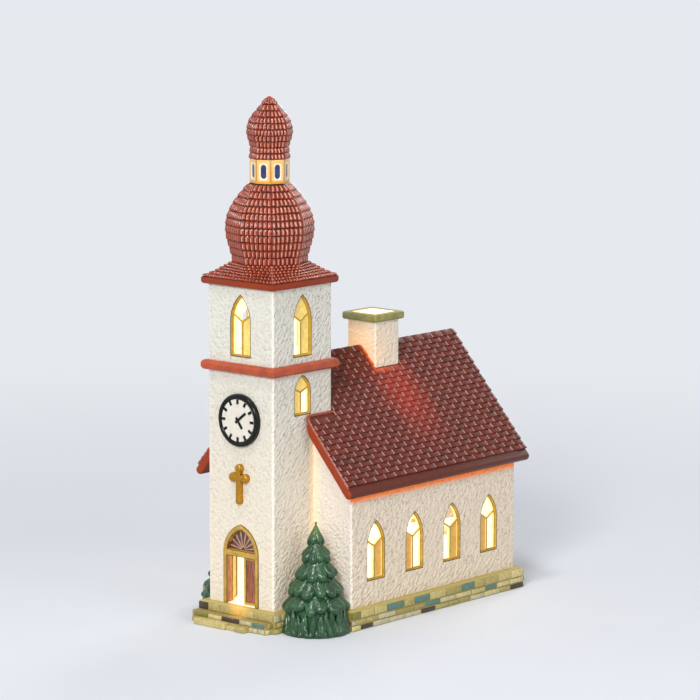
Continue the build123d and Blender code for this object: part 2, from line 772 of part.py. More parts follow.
with BuildPart() as lamp_spring_clips:
    hole_radius = lamp_hole_diameter / 2
    barrel_radius = lamp_barrel_diameter / 2
    knee_depth = wall + clip_back
    throat = hole_radius - clip_room
    clip_seat = barrel_radius + clip_thickness / 2
    clip_end = lamp_barrel_length - clip_thickness
    for side in (1, -1):
        with BuildSketch(Plane(origin=(0, nave_back, lamp_level), x_dir=(side, 0, 0), z_dir=(0, 0, 1))):
            with BuildLine():
                Polyline(
                    (throat, 0),
                    (throat, side * -knee_depth),
                    (hole_radius + clip_grip, side * -(knee_depth + clip_rise)),
                    (clip_seat, side * -(clip_end - clip_foot)),
                    (clip_seat, side * -clip_end),
                )
            trace(line_width=clip_thickness)
    extrude(amount=clip_width / 2, both=True)
save(lamp_spring_clips, "lamp_spring_clips")

with BuildPart() as cord_gland:
    with BuildSketch(lamp_out.offset(boss_face - gland_sunk)):
        Circle(gland_diameter / 2)
        Circle(cord_bore / 2, mode=Mode.SUBTRACT)
    extrude(amount=gland_length)
save(cord_gland, "cord_gland")

# Bulb: solder tip, brass cap, glass, stem and filament on the axis of the lamp holder
tip_end = shell_floor + contact_thickness
bulb_axis = Axis((0, nave_back, lamp_level), (0, 1, 0))
cap_start = tip_end + tip_length
glass_start = cap_start + cap_length
glass_length = bulb_length - tip_length - cap_length
glass_radius = bulb_diameter / 2
neck_radius = glass_radius * neck_radius_share
bulb_plane = Plane(origin=(0, nave_back, lamp_level), x_dir=(0, -1, 0), z_dir=(1, 0, 0))
with BuildPart() as bulb_contact:
    with BuildSketch(lamp_out.offset(-tip_end)):
        Circle(tip_diameter / 2)
    extrude(amount=-tip_length)
save(bulb_contact, "bulb_contact")

with BuildPart() as bulb_cap:
    with BuildSketch(lamp_out.offset(-cap_start)):
        Circle(cap_diameter / 2)
    extrude(amount=-cap_length)
    with BuildSketch(lamp_out.offset(-glass_start)):
        Circle(cap_diameter / 2 - cap_wall)
    extrude(amount=cap_length - cap_wall, mode=Mode.SUBTRACT)
save(bulb_cap, "bulb_cap")


def glass_outline(inset):
    """Half outline of the pear-shaped bulb, drawn in by an inset, from the cap to the tip."""
    points = [(glass_start, neck_radius - inset)]
    for along_share, radius_share in bulb_shares:
        points.append((glass_start + glass_length * along_share, glass_radius * radius_share - inset))
    end = (glass_start + glass_length - inset, 0)
    with BuildLine() as outline:
        Spline(points + [end], tangents=((1, 0), (0, -1)))
        Polyline(end, (glass_start, 0), points[0])
    make_face(outline.edges())


with BuildPart() as bulb_glass:
    with BuildSketch(bulb_plane):
        glass_outline(0)
    revolve(axis=bulb_axis)
    with BuildSketch(bulb_plane):
        glass_outline(bulb_glass_wall)
    revolve(axis=bulb_axis, mode=Mode.SUBTRACT)
save(bulb_glass, "bulb_glass")

with BuildPart() as bulb_stem:
    with BuildSketch(lamp_out.offset(-(cap_start + cap_wall))):
        Circle(stem_diameter / 2)
    extrude(amount=-(cap_length - cap_wall + stem_length))
save(bulb_stem, "bulb_stem")

with BuildPart() as bulb_filament:
    stem_end = glass_start + stem_length
    with BuildSketch(lamp_out.offset(-stem_end)):
        with GridLocations(stem_diameter / 2, 0, 2, 1):
            Circle(filament_diameter / 2)
    extrude(amount=-filament_height)
    with BuildSketch(Plane.YZ):
        with Locations((nave_back - stem_end - filament_height, lamp_level)):
            Circle(filament_diameter / 2)
    extrude(amount=filament_span / 2, both=True)
save(bulb_filament, "bulb_filament")
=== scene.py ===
import json
import random
from functools import partial
from math import asin, cos, pi, radians, sin, sqrt

import bmesh
import bpy
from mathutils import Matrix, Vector
from mathutils.bvhtree import BVHTree

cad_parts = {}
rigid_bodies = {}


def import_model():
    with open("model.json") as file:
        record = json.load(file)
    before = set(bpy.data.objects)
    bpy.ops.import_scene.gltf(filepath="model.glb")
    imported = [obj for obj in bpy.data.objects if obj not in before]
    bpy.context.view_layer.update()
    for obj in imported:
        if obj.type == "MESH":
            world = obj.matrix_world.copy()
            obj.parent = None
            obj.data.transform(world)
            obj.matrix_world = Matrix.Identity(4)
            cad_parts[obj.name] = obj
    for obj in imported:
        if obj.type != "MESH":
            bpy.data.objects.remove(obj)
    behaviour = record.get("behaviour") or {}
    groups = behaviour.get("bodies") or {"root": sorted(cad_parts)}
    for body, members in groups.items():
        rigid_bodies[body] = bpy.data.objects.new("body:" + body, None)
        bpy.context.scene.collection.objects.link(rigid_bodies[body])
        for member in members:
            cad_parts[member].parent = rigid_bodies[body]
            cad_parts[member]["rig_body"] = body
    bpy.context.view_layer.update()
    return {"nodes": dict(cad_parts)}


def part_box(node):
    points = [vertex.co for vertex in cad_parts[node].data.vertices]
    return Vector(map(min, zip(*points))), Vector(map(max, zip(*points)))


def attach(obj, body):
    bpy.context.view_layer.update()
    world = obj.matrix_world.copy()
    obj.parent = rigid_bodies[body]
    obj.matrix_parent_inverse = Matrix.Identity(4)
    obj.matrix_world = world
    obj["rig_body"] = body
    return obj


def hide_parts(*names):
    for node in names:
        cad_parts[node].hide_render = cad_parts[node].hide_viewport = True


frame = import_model()

# Base: a slip-cast tray with three courses of field stone moulded in relief round its sides.
# The stones are painted by hand in khaki glaze, odd ones in black, teal and olive, over pale joints.
MM = 0.001
random.seed(24)


def linear(hex_colour):
    """Linear colour, with full alpha, of an sRGB hex value."""
    parts = [int(hex_colour[start:start + 2], 16) / 255 for start in (1, 3, 5)]
    return [part / 12.92 if part <= 0.04045 else ((part + 0.055) / 1.055) ** 2.4 for part in parts] + [1.0]


def set_inputs(node, inputs):
    """Give each socket of a node its value: a hex colour, a number, or a link from a node or its output."""
    for socket, value in inputs.items():
        if isinstance(value, bpy.types.Node):
            value = next(output for output in value.outputs if output.enabled)
        if isinstance(value, bpy.types.NodeSocket):
            node.id_data.links.new(value, node.inputs[socket])
        else:
            node.inputs[socket].default_value = linear(value) if isinstance(value, str) else value


def add_node(owner, kind, inputs, **settings):
    """One more node in a material or the world, with its settings, values and links."""
    node = owner.node_tree.nodes.new("ShaderNode" + kind)
    for setting, value in settings.items():
        setattr(node, setting, value)
    set_inputs(node, inputs)
    return node


def work_on(material):
    """The shader node of a material, the frame's coordinates for its patterns, and its own add_node."""
    place = add_node(material, "TexCoord", {}).outputs["Object"]
    return material.node_tree.nodes["Principled BSDF"], place, partial(add_node, material)


def new_material(name):
    """A material, with all that is needed to work on it."""
    material = bpy.data.materials.new(name)
    material.use_nodes = True
    return material, *work_on(material)


def dress(node_names, material):
    """Give CAD nodes, which keep their shape, a better material."""
    for node_name in node_names:
        node = frame["nodes"][node_name]
        node.data.materials.clear()
        node.data.materials.append(material)


def rounded_block(size, edge_round, steps):
    """Shape, which is points and faces, of a block with rounded edges, scaled to a unit block."""
    sides = [side / MM for side in size]
    block = bmesh.new()
    bmesh.ops.create_cube(block, size=1.0)
    bmesh.ops.scale(block, verts=block.verts, vec=sides)
    bmesh.ops.bevel(block, geom=block.edges[:], offset=edge_round / MM, segments=steps, profile=0.5,
                    affect="EDGES")
    block.verts.index_update()
    points = [[corner.co[axis] / sides[axis] + 0.5 for axis in range(3)] for corner in block.verts]
    faces = [[corner.index for corner in face.verts] for face in block.faces]
    block.free()
    return points, faces


def lay_block(shape, block, patch, lifts, thickness):
    """Add one block to a shape, bent onto four corners: low left, low right, high right, high left."""
    least_area = 1e-12
    points, faces = shape
    low_left, low_right, high_right, high_left = patch
    outward = (low_right - low_left).cross(high_left - low_left)
    if outward.length < least_area:
        outward = (high_right - low_right).cross(high_left - high_right)
    outward.normalize()
    first = len(points)
    for across, up, out in block[0]:
        low = low_left.lerp(low_right, across)
        high = high_left.lerp(high_right, across)
        low_lift = lifts[0] * (1 - across) + lifts[1] * across
        high_lift = lifts[3] * (1 - across) + lifts[2] * across
        lift = low_lift * (1 - up) + high_lift * up + thickness * out
        points.append(low.lerp(high, up) + outward * lift)
    faces.extend([[first + corner for corner in face] for face in block[1]])


def set_piece(name, mesh, materials, body="church", smooth_to=50):
    """Make a mesh a piece: smooth between its sharp edges, riding on a body, with its materials."""
    for material in materials:
        mesh.materials.append(material)
    mesh.shade_smooth()
    mesh.set_sharp_from_angle(angle=radians(smooth_to))
    piece = bpy.data.objects.new(name, mesh)
    bpy.context.scene.collection.objects.link(piece)
    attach(piece, body)
    return piece


def new_piece(name, shape, materials):
    """A piece of the church from a shape."""
    mesh = bpy.data.meshes.new(name)
    mesh.from_pydata(shape[0], [], shape[1])
    return set_piece(name, mesh, materials)


base_low, base_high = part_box("base_plinth")
nave_low, nave_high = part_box("nave_walls")
tower_low, tower_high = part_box("tower_walls")
# Painted lamplight: the stones and joints turn warm and glow near the door sill.
sill = Vector((1.5 * MM, tower_low.y - 1.0 * MM, base_high.z))
sill_near = 2 * MM
sill_far = 9 * MM
sill_lamp_colour = "#efb650"
sill_light = 0.16


def sill_glow(add, place, paint):
    """Painted lamplight near the door sill, where the lamp shines out: the warmed paint, and that light's
    strength.
    """
    gap = add("VectorMath", {0: place, 1: sill}, operation="DISTANCE")
    spill = add("MapRange", {"Value": gap, "From Min": sill_near, "From Max": sill_far,
                             "To Min": 0.8, "To Max": 0.0}, interpolation_type="SMOOTHSTEP")
    warmed = add("Mix", {0: spill, 6: paint, 7: sill_lamp_colour}, data_type="RGBA")
    shine = add("Math", {0: spill, 1: sill_light}, operation="MULTIPLY")
    return warmed, shine


# Glazed stone paint: brushed on by hand, so each stone has its own tone, with streaks and a satin gloss.
stone_glaze, shader, place, add = new_material("khaki_stone_glaze_brushed")
stone_paints = [(0.0, "#c5b575"), (0.13, "#b1a362"), (0.26, "#d0c188"), (0.37, "#c2ba95"),
                (0.48, "#a59854"), (0.60, "#5a7d6f"), (0.70, "#43372c"), (0.86, "#7f7c33")]
all_paints = 1.0
odd_from = stone_paints[5][0]
stone_streak = 1.6 * MM
picked = add("Attribute", {}, attribute_name="stone_paint")
paints = add("ValToRGB", {"Fac": picked.outputs["Fac"]})
ramp = paints.color_ramp
ramp.interpolation = "CONSTANT"
ramp.elements.remove(ramp.elements[1])
ramp.elements[0].color = linear(stone_paints[0][1])
for share, paint in stone_paints[1:]:
    ramp.elements.new(share).color = linear(paint)
streaks = add("TexNoise", {"Vector": place, "Scale": 1 / stone_streak, "Detail": 3.0})
streak_tone = add("MapRange", {"Value": streaks, "From Min": 0.3, "From Max": 0.7,
                               "To Min": 0.78, "To Max": 1.15})
toned = add("VectorMath", {0: paints, 1: streak_tone}, operation="MULTIPLY")
warmed, shine = sill_glow(add, place, toned)
relief = add("Bump", {"Height": streaks, "Strength": 0.5, "Distance": 0.2 * MM})
set_inputs(shader, {"Base Color": warmed, "Roughness": 0.42, "IOR": 1.5, "Emission Color": sill_lamp_colour,
                    "Emission Strength": shine, "Normal": relief})

# Joint slip: thin slip wiped off the stones, so chalky and pale between them and plain on the top ledge.
joint_slip, slip_shader, slip_place, slip_add = new_material("pale_joint_slip_wiped")
joint_grain = 0.9 * MM
ledge_from = base_high.z - 0.9 * MM
ledge_full = base_high.z - 0.4 * MM
axes = slip_add("SeparateXYZ", {0: slip_place})
on_ledge = slip_add("MapRange", {"Value": axes.outputs["Z"], "From Min": ledge_from,
                                 "From Max": ledge_full})
grain = slip_add("TexNoise", {"Vector": slip_place, "Scale": 1 / joint_grain, "Detail": 2.0})
joints = slip_add("Mix", {0: grain, 6: "#bca869", 7: "#85723b"}, data_type="RGBA")
ledged = slip_add("Mix", {0: on_ledge, 6: joints, 7: "#b9a560"}, data_type="RGBA")
slip_paint, slip_shine = sill_glow(slip_add, slip_place, ledged)
relief = slip_add("Bump", {"Height": grain, "Strength": 0.4, "Distance": 0.2 * MM})
set_inputs(slip_shader, {"Base Color": slip_paint, "Roughness": 0.6, "IOR": 1.5, "Normal": relief})
dress(["base_plinth"], joint_slip)

stone_length = (7.5 * MM, 12.5 * MM)
least_stone = 1.2 * MM
stone_gap = 0.6 * MM
stone_out = 0.45 * MM
stone_block = rounded_block((10 * MM, 3 * MM, 1 * MM), 0.28 * MM, 2)
stones = ([], [])


def lay_courses(start, end, levels):
    """Courses of uneven stones on an upright face, which is on the right of the way from start to end."""
    way = (end - start).normalized()
    length = (end - start).length
    for low, high in zip(levels[:-1], levels[1:]):
        along = -random.uniform(0.0, stone_length[0])
        while along < length:
            stone_end = along + random.uniform(*stone_length)
            left = max(along, 0.0)
            right = min(stone_end, length) - stone_gap
            if right - left > least_stone:
                foot = Vector((0, 0, low + stone_gap / 2))
                head = Vector((0, 0, high - stone_gap / 2 * random.uniform(0.7, 1.6)))
                patch = [start + way * left + foot, start + way * right + foot,
                         start + way * right + head, start + way * left + head]
                out = stone_out * random.uniform(0.7, 1.3)
                lay_block(stones, stone_block, patch, [-out] * 4, 2 * out)
            along = stone_end


def pick_paints(piece, faces_each, paint_limit):
    """Give every stone of a piece a paint of its own, by chance, but no two odd ones side by side."""
    shares = []
    share = 0.0
    while len(shares) < len(piece.data.polygons):
        share = random.uniform(0.0, paint_limit if share < odd_from else odd_from)
        shares += [share] * faces_each
    piece.data.attributes.new("stone_paint", "FLOAT", "FACE").data.foreach_set("value", shares)


nave_half = nave_high.x
tower_half = tower_high.x
plinth_margin = base_high.x - nave_half
nave_face = nave_half + plinth_margin
nave_front = nave_low.y - plinth_margin
nave_back = nave_high.y + plinth_margin
tower_face = tower_half + plinth_margin
tower_front = tower_low.y - plinth_margin
foot_left = -tower_half - 4.2 * MM
foot_right = tower_half + 1.2 * MM
foot_front = base_low.y
foot_height = 5.2 * MM
course_height = 2.65 * MM
top_of_stones = base_high.z - 0.5 * MM
three_courses = [0, course_height, 2 * course_height, top_of_stones]
two_courses = [0, course_height, foot_height]
one_course = [foot_height, top_of_stones]
stone_walls = [((nave_face, nave_front), (nave_face, nave_back), three_courses),
               ((nave_face, nave_back), (-nave_face, nave_back), three_courses),
               ((-nave_face, nave_back), (-nave_face, nave_front), three_courses),
               ((tower_face, nave_front), (nave_face, nave_front), three_courses),
               ((-nave_face, nave_front), (-tower_face, nave_front), three_courses),
               ((tower_face, tower_front), (tower_face, nave_front), three_courses),
               ((foot_right, tower_front), (tower_face, tower_front), two_courses),
               ((foot_right, foot_front), (foot_right, tower_front), two_courses),
               ((foot_left, nave_front), (foot_left, foot_front), two_courses),
               ((foot_left, foot_front), (foot_right, foot_front), two_courses),
               ((-tower_face, nave_front), (-tower_face, tower_front), one_course),
               ((-tower_face, tower_front), (tower_face, tower_front), one_course)]
for start, end, levels in stone_walls:
    lay_courses(Vector((*start, 0)), Vector((*end, 0)), levels)
base_stones = new_piece("base_stones", stones, [stone_glaze])
pick_paints(base_stones, len(stone_block[1]), all_paints)

# Door step: worn slabs of the same painted stone before the door, cast in one with the base.
# The long one lies on the left, and two shorter ones of uneven height finish it on the right.
step_low, step_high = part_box("door_step")
step_shares = [(0.0, 0.62, 1.0), (0.63, 0.80, 0.72), (0.81, 1.0, 0.9)]
step_setback = 3 * MM
khaki_paints = 0.58
step_block = rounded_block((12 * MM, 4.6 * MM, 3 * MM), 0.7 * MM, 3)
slabs = ([], [])
for left_share, right_share, height_share in step_shares:
    left = step_low.x + (step_high.x - step_low.x) * left_share
    right = step_low.x + (step_high.x - step_low.x) * right_share
    front = step_low.y + (1 - height_share) * step_setback
    patch = [Vector((left, front, 0)), Vector((right, front, 0)),
             Vector((right, step_high.y, 0)), Vector((left, step_high.y, 0))]
    lay_block(slabs, step_block, patch, [0] * 4, step_high.z * height_share)
door_step = new_piece("door_step_slabs", slabs, [stone_glaze])
pick_paints(door_step, len(step_block[1]), khaki_paints)
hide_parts("door_step")

# Walls of the nave and the tower: one slip-cast porcelain shell, stippled in the mould like rough plaster.
# They are left unglazed, so they are matt and let the lamp's warm light through at thin places.
# The fronts were sponged smoother than the sides.
def stippled_bisque(name, cream, shade, dab_depth):
    """Matt cream porcelain, stippled in short slanting dabs with fine dark pits, with painted shade in the
    hollows and painted lamplight warming the foot.
    """
    dab_size = 1.25 * MM
    pit_spacing = 1.7 * MM
    warm_top = 135 * MM
    warm_foot = 35 * MM
    material, shader, place, add = new_material(name)
    slanted = add("Mapping", {"Vector": place, "Rotation": (radians(-45), radians(35), 0),
                              "Scale": (1, 1, 2.2)}, vector_type="TEXTURE")
    dabs = add("TexNoise", {"Vector": slanted, "Scale": 1 / dab_size, "Detail": 1.0, "Roughness": 0.4})
    cells = add("TexVoronoi", {"Vector": slanted, "Scale": 1 / pit_spacing})
    pits = add("MapRange", {"Value": cells, "From Min": 0.06, "From Max": 0.2, "To Min": 0.25})
    axes = add("SeparateXYZ", {0: place})
    # Painted lamplight: the colour turns from the top one to a warmer one towards the foot, for the lamp
    # shining through the thin lower walls.
    lower = add("MapRange", {"Value": axes.outputs["Z"], "From Min": warm_top, "From Max": warm_foot})
    warm = add("Mix", {0: lower, 6: cream, 7: shade}, data_type="RGBA")
    # Painted shade: the dabs' hollows darken the colour towards #b9ab92, and the fine pits darken it as
    # well.
    hollows = add("MapRange", {"Value": dabs, "From Min": 0.3, "From Max": 0.46, "To Min": 0.66})
    off_hollows_and_pits = add("Math", {0: hollows, 1: pits}, operation="MULTIPLY")
    tone = add("Mix", {0: off_hollows_and_pits, 6: "#b9ab92", 7: warm}, data_type="RGBA")
    heights = add("Math", {0: dabs, 1: 1.6, 2: pits}, operation="MULTIPLY_ADD")
    side = add("NewGeometry", {})
    facing = add("SeparateXYZ", {0: side.outputs["Normal"]})
    sponged = add("MapRange", {"Value": facing.outputs["Y"], "From Min": -0.3, "From Max": -0.8,
                               "To Min": 1.0, "To Max": 0.6})
    relief = add("Bump", {"Height": heights, "Strength": sponged, "Distance": dab_depth})
    set_inputs(shader, {"Base Color": tone, "Roughness": 0.75, "IOR": 1.5, "Normal": relief})
    return material


def paint_of(shader):
    """The output that gives a shader its base colour, to paint over."""
    return shader.inputs["Base Color"].links[0].from_socket


def room_mask(add, place, low, high):
    """One inside a box of the church, nought outside it."""
    middle = (low + high) / 2
    moved = add("VectorMath", {0: place, 1: middle}, operation="SUBTRACT")
    shares = add("VectorMath", {0: moved, 1: high - middle}, operation="DIVIDE")
    reach = add("VectorMath", {0: shares}, operation="ABSOLUTE")
    sides = add("SeparateXYZ", {0: reach})
    across = add("Math", {0: sides.outputs["X"], 1: sides.outputs["Y"]}, operation="MAXIMUM")
    farthest = add("Math", {0: across, 1: sides.outputs["Z"]}, operation="MAXIMUM")
    return add("Math", {0: farthest, 1: 1.0}, operation="LESS_THAN")


def corner_mask(add, place, right, along, near, far):
    """One along the two upright lines at a distance right and left of the ridge, fading to nought."""
    moved = add("VectorMath", {0: place, 1: (0, along, 0)}, operation="SUBTRACT")
    flat = add("VectorMath", {0: moved, 1: (1, 1, 0)}, operation="MULTIPLY")
    mirrored = add("VectorMath", {0: flat}, operation="ABSOLUTE")
    gap = add("VectorMath", {0: mirrored, 1: (right, 0, 0)}, operation="DISTANCE")
    return add("MapRange", {"Value": gap, "From Min": near, "From Max": far, "To Min": 1.0, "To Max": 0.0},
               interpolation_type="SMOOTHSTEP")


def light_up(shader, add, paint, inside, skin_colour, skin_shine):
    """Give a shell its paint, with a faint light through its skin and the lamp's light in its rooms."""
    lit_room = add("Math", {0: inside, 1: room_light}, operation="MULTIPLY")
    shine = add("Math", {0: skin_shine, 1: lit_room}, operation="MAXIMUM")
    colour = add("Mix", {0: inside, 6: skin_colour, 7: lamp_light}, data_type="RGBA")
    set_inputs(shader, {"Base Color": paint, "Emission Color": colour, "Emission Strength": shine})


wall = 3.2 * MM
room_skin = 0.1 * MM
room_edge = wall - room_skin
room_inset = Vector((room_edge, room_edge, -1 * MM))
lamp_light = "#ffefc6"
leak_light = "#ff8432"
skin_light = "#ffdcae"
skin_glow = 0.09
room_light = 0.8
# Painted highlight: a paler line down the upright outer corners of the walls and the stack, where the light
# catches them.
painted_edge_highlight = "#ece4d6"
edge_highlight_reach = (0.1 * MM, 1.6 * MM)
roof_low, roof_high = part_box("nave_roof")

# Nave: the bisque glows orange under the eaves and pale yellow where it meets the tower, and its front
# faces are painted paler and glow a little more, which is painted light.
eave_shade = roof_low.z - 1.4 * MM
eave_fade = 3.4 * MM
eave_light = 0.26
corner_light = 0.06
front_extra = 0.3 * skin_glow
nave_stucco = stippled_bisque("porcelain_bisque_stippled_nave", "#e3d8c9", "#dfd1bd", 1.0 * MM)
shader, place, add = work_on(nave_stucco)
axes = add("SeparateXYZ", {0: place})
under_eave = add("MapRange", {"Value": axes.outputs["Z"], "From Min": eave_shade - eave_fade,
                              "From Max": eave_shade}, interpolation_type="SMOOTHSTEP")
from_ridge = add("Math", {0: axes.outputs["X"]}, operation="ABSOLUTE")
on_side = add("Math", {0: from_ridge, 1: nave_half - 0.6 * MM}, operation="GREATER_THAN")
eave_leak = add("Math", {0: under_eave, 1: on_side}, operation="MULTIPLY")
tower_corner = corner_mask(add, place, tower_half, nave_low.y, 0.3 * MM, 5.5 * MM)
# Painted highlight down the nave's front corners.
edges = corner_mask(add, place, nave_half, nave_low.y, *edge_highlight_reach)
edged = add("Mix", {0: edges, 6: paint_of(shader), 7: painted_edge_highlight}, data_type="RGBA")
# Painted light: faces towards the front get a paler, less yellow colour and a little more glow.
wall_side = add("NewGeometry", {})
facing = add("SeparateXYZ", {0: wall_side.outputs["Normal"]})
front_face = add("MapRange", {"Value": facing.outputs["Y"], "From Min": -0.3, "From Max": -0.8,
                              "To Max": 0.5})
fronted = add("Mix", {0: front_face, 6: edged, 7: "#e6e1db"}, data_type="RGBA")
warmed = add("Mix", {0: tower_corner, 6: fronted, 7: "#f3dec2"}, data_type="RGBA")
tinted = add("Mix", {0: eave_leak, 6: warmed, 7: "#e8702a"}, data_type="RGBA")
eave_shine = add("Math", {0: eave_leak, 1: eave_light}, operation="MULTIPLY")
corner_shine = add("Math", {0: tower_corner, 1: corner_light, 2: eave_shine}, operation="MULTIPLY_ADD")
front_glow = add("Math", {0: front_face, 1: front_extra, 2: skin_glow}, operation="MULTIPLY_ADD")
skin_shine = add("Math", {0: corner_shine, 1: front_glow}, operation="ADD")
skin_colour = add("Mix", {0: eave_leak, 6: skin_light, 7: leak_light}, data_type="RGBA")
inside = room_mask(add, place, nave_low + room_inset, nave_high - room_inset)
light_up(shader, add, tinted, inside, skin_colour, skin_shine)
dress(["nave_walls"], nave_stucco)

# Tower: the bisque is cooler and whiter at the belfry and warmer towards the foot, which is painted
# lamplight, and it glows a little towards the foot.
nave_room_top = 88 * MM
roof_at_tower = 92 * MM
glow_top = 115 * MM
glow_foot = 35 * MM
tower_leak_light = 0.05
tower_stucco = stippled_bisque("porcelain_bisque_stippled_tower", "#dad7cb", "#dbd2c2", 0.65 * MM)
shader, place, add = work_on(tower_stucco)
axes = add("SeparateXYZ", {0: place})
nave_corner = corner_mask(add, place, tower_half, nave_low.y, 0.3 * MM, 4.0 * MM)
below_roof = add("Math", {0: axes.outputs["Z"], 1: roof_at_tower}, operation="LESS_THAN")
leak = add("Math", {0: nave_corner, 1: below_roof}, operation="MULTIPLY")
# Painted highlight down the tower's corners.
edges = corner_mask(add, place, tower_half, tower_low.y, *edge_highlight_reach)
edged = add("Mix", {0: edges, 6: paint_of(shader), 7: painted_edge_highlight}, data_type="RGBA")
tinted = add("Mix", {0: leak, 6: edged, 7: "#f1d8b4"}, data_type="RGBA")
low_glow = add("MapRange", {"Value": axes.outputs["Z"], "From Min": glow_top, "From Max": glow_foot,
                            "To Max": 1.4 * skin_glow})
skin_shine = add("Math", {0: leak, 1: tower_leak_light, 2: low_glow}, operation="MULTIPLY_ADD")
own_room = room_mask(add, place, tower_low + room_inset, tower_high - room_inset)
nave_side = room_mask(add, place, Vector((-nave_half, nave_low.y + room_edge, 0)),
                      Vector((nave_half, nave_high.y, nave_room_top)))
inside = add("Math", {0: own_room, 1: nave_side}, operation="MAXIMUM")
light_up(shader, add, tinted, inside, skin_light, skin_shine)
dress(["tower_walls"], tower_stucco)

# Floor of the rooms: the same slip on the base, lit by the lamp as far as the door's threshold.
threshold = 0.4 * MM
room_floor = base_high.z + 1 * MM
nave_floor = room_mask(slip_add, slip_place,
                       Vector((nave_low.x + room_edge, nave_low.y + room_edge, -room_skin)),
                       Vector((nave_high.x - room_edge, nave_high.y - room_edge, room_floor)))
tower_floor = room_mask(slip_add, slip_place,
                        Vector((tower_low.x + room_edge, tower_low.y + threshold, -room_skin)),
                        Vector((tower_high.x - room_edge, tower_high.y, room_floor)))
lit_floor = slip_add("Math", {0: nave_floor, 1: tower_floor}, operation="MAXIMUM")
floor_shine = slip_add("Math", {0: lit_floor, 1: room_light, 2: slip_shine}, operation="MULTIPLY_ADD")
floor_paint = slip_add("Mix", {0: lit_floor, 6: slip_paint, 7: "#efe2c8"}, data_type="RGBA")
set_inputs(slip_shader, {"Base Color": floor_paint, "Emission Color": lamp_light,
                         "Emission Strength": floor_shine})

# Windows: pointed tracery sunk in a thin lining, pierced where the lamp shows and blind elsewhere.
# Rims and bars are painted with ochre lustre; the lining's edge is a dark line, partly pooled paint and
# partly painted shade at the wall's edge.
def glaze(name, tones, patch_size, roughness, coat, specular=0.5, glow=("#ffffff", 0.0)):
    """Brushed coloured glaze: tones from thin to thick paint in soft patches, under a clear gloss."""
    material, shader, place, add = new_material(name)
    patches = add("TexNoise", {"Vector": place, "Scale": 1 / patch_size, "Detail": 4.0})
    depth = add("MapRange", {"Value": patches, "From Min": 0.32, "From Max": 0.68})
    paint = add("Mix", {0: depth, 6: tones[0], 7: tones[1]}, data_type="RGBA")
    relief = add("Bump", {"Height": patches, "Strength": 0.35, "Distance": 0.15 * MM})
    set_inputs(shader, {"Base Color": paint, "Roughness": roughness, "IOR": 1.5, "Normal": relief,
                        "Specular IOR Level": specular, "Coat Weight": coat, "Coat Roughness": 0.12,
                        "Emission Color": glow[0], "Emission Strength": glow[1]})
    return material


def softened(node_name, edge_round, materials, edge_material=-1):
    """A copy of a CAD node with its sharp edges rounded, as glaze rounds them, which then stands for it."""
    solid = bmesh.new()
    solid.from_mesh(frame["nodes"][node_name].data)
    bmesh.ops.remove_doubles(solid, verts=solid.verts, dist=0.001 * MM)
    bmesh.ops.dissolve_limit(solid, angle_limit=radians(0.5), verts=solid.verts, edges=solid.edges)
    sharp = [edge for edge in solid.edges
             if len(edge.link_faces) == 2 and edge.calc_face_angle(0) > radians(30)]
    bmesh.ops.bevel(solid, geom=sharp, offset=edge_round, segments=2, profile=0.5, affect="EDGES",
                    clamp_overlap=True, material=edge_material)
    mesh = bpy.data.meshes.new(node_name + "_soft")
    solid.to_mesh(mesh)
    solid.free()
    piece = set_piece(node_name + "_soft", mesh, materials, frame["nodes"][node_name]["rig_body"])
    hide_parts(node_name)
    return piece


# Ochre lustre: a thin glossy coat of golden brown, which the lamp behind it warms a little.
ochre_lustre = glaze("ochre_lustre_glaze_brushed", ("#c8a038", "#a5822a"), 2.5 * MM, 0.34, 0.2,
                     glow=("#ffc040", 0.04))
# The same paint where it pooled, which is also painted shade: a dark brown line round the lining and on
# bevelled edges.
ochre_line_and_shade = glaze("ochre_lustre_pooled_and_painted_shade", ("#5c4a1c", "#443814"), 1.8 * MM, 0.35, 0.2)
# Thin glazes on the blind panes: amber on the nave and yellow on the tower, as if lit from inside.
amber_light = glaze("amber_light_glaze_thin", ("#dfae50", "#c9933a"), 2.0 * MM, 0.32, 0.3,
                    glow=("#ffc45c", 0.12))
yellow_light = glaze("yellow_light_glaze_thin", ("#ead27c", "#d8b44c"), 2.0 * MM, 0.32, 0.3,
                     glow=("#ffd878", 0.20))
# Cut edges of the pierced panes: bright yellow, because the lamp shines on them.
lit_edge = glaze("yellow_reveal_glaze_thin", ("#ffe6a8", "#f3cf78"), 2.0 * MM, 0.4, 0.2,
                 glow=("#ffd58a", 0.40))
# Bare slip on the backs: nearly white in the full light of the lamp.
lit_slip = glaze("cream_slip_lit_from_inside", ("#fff3d6", "#fbe6bc"), 3 * MM, 0.6, 0.0,
                 glow=(lamp_light, room_light))
window_edge = 0.10 * MM
lining_depth = 0.4 * MM
tracery_depth = 1.3 * MM
square_on = 0.9
rim_paint, line_paint, blind_paint, edge_paint, back_paint = range(5)
window_names = [name for name in frame["nodes"] if "_window_" in name]
for window_name in window_names:
    blind = amber_light if window_name.startswith("nave") else yellow_light
    window_paints = [ochre_lustre, ochre_line_and_shade, blind, lit_edge, lit_slip]
    window = softened(window_name, window_edge, window_paints)
    low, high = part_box(window_name)
    axis = 0 if high.x - low.x < high.y - low.y else 1
    towards = 1 if "_right" in window_name or "_rear" in window_name else -1
    outer = high[axis] if towards > 0 else low[axis]
    for face in window.data.polygons:
        depth = (outer - face.center[axis]) * towards
        outward = face.normal[axis] * towards
        if outward < -square_on:
            face.material_index = back_paint
        elif outward > square_on and depth < lining_depth:
            face.material_index = line_paint
        elif depth < tracery_depth:
            face.material_index = rim_paint
        else:
            face.material_index = blind_paint if outward > square_on else edge_paint

# Door: a pointed ochre frame with a fanlight, the left leaf swung in and the right one closed.
# All of it is moulded porcelain: ochre lustre on frame and rails, russet paint brushed on the panels
# and on the frame's left reveal, and thin pale rays on the umber fanlight.

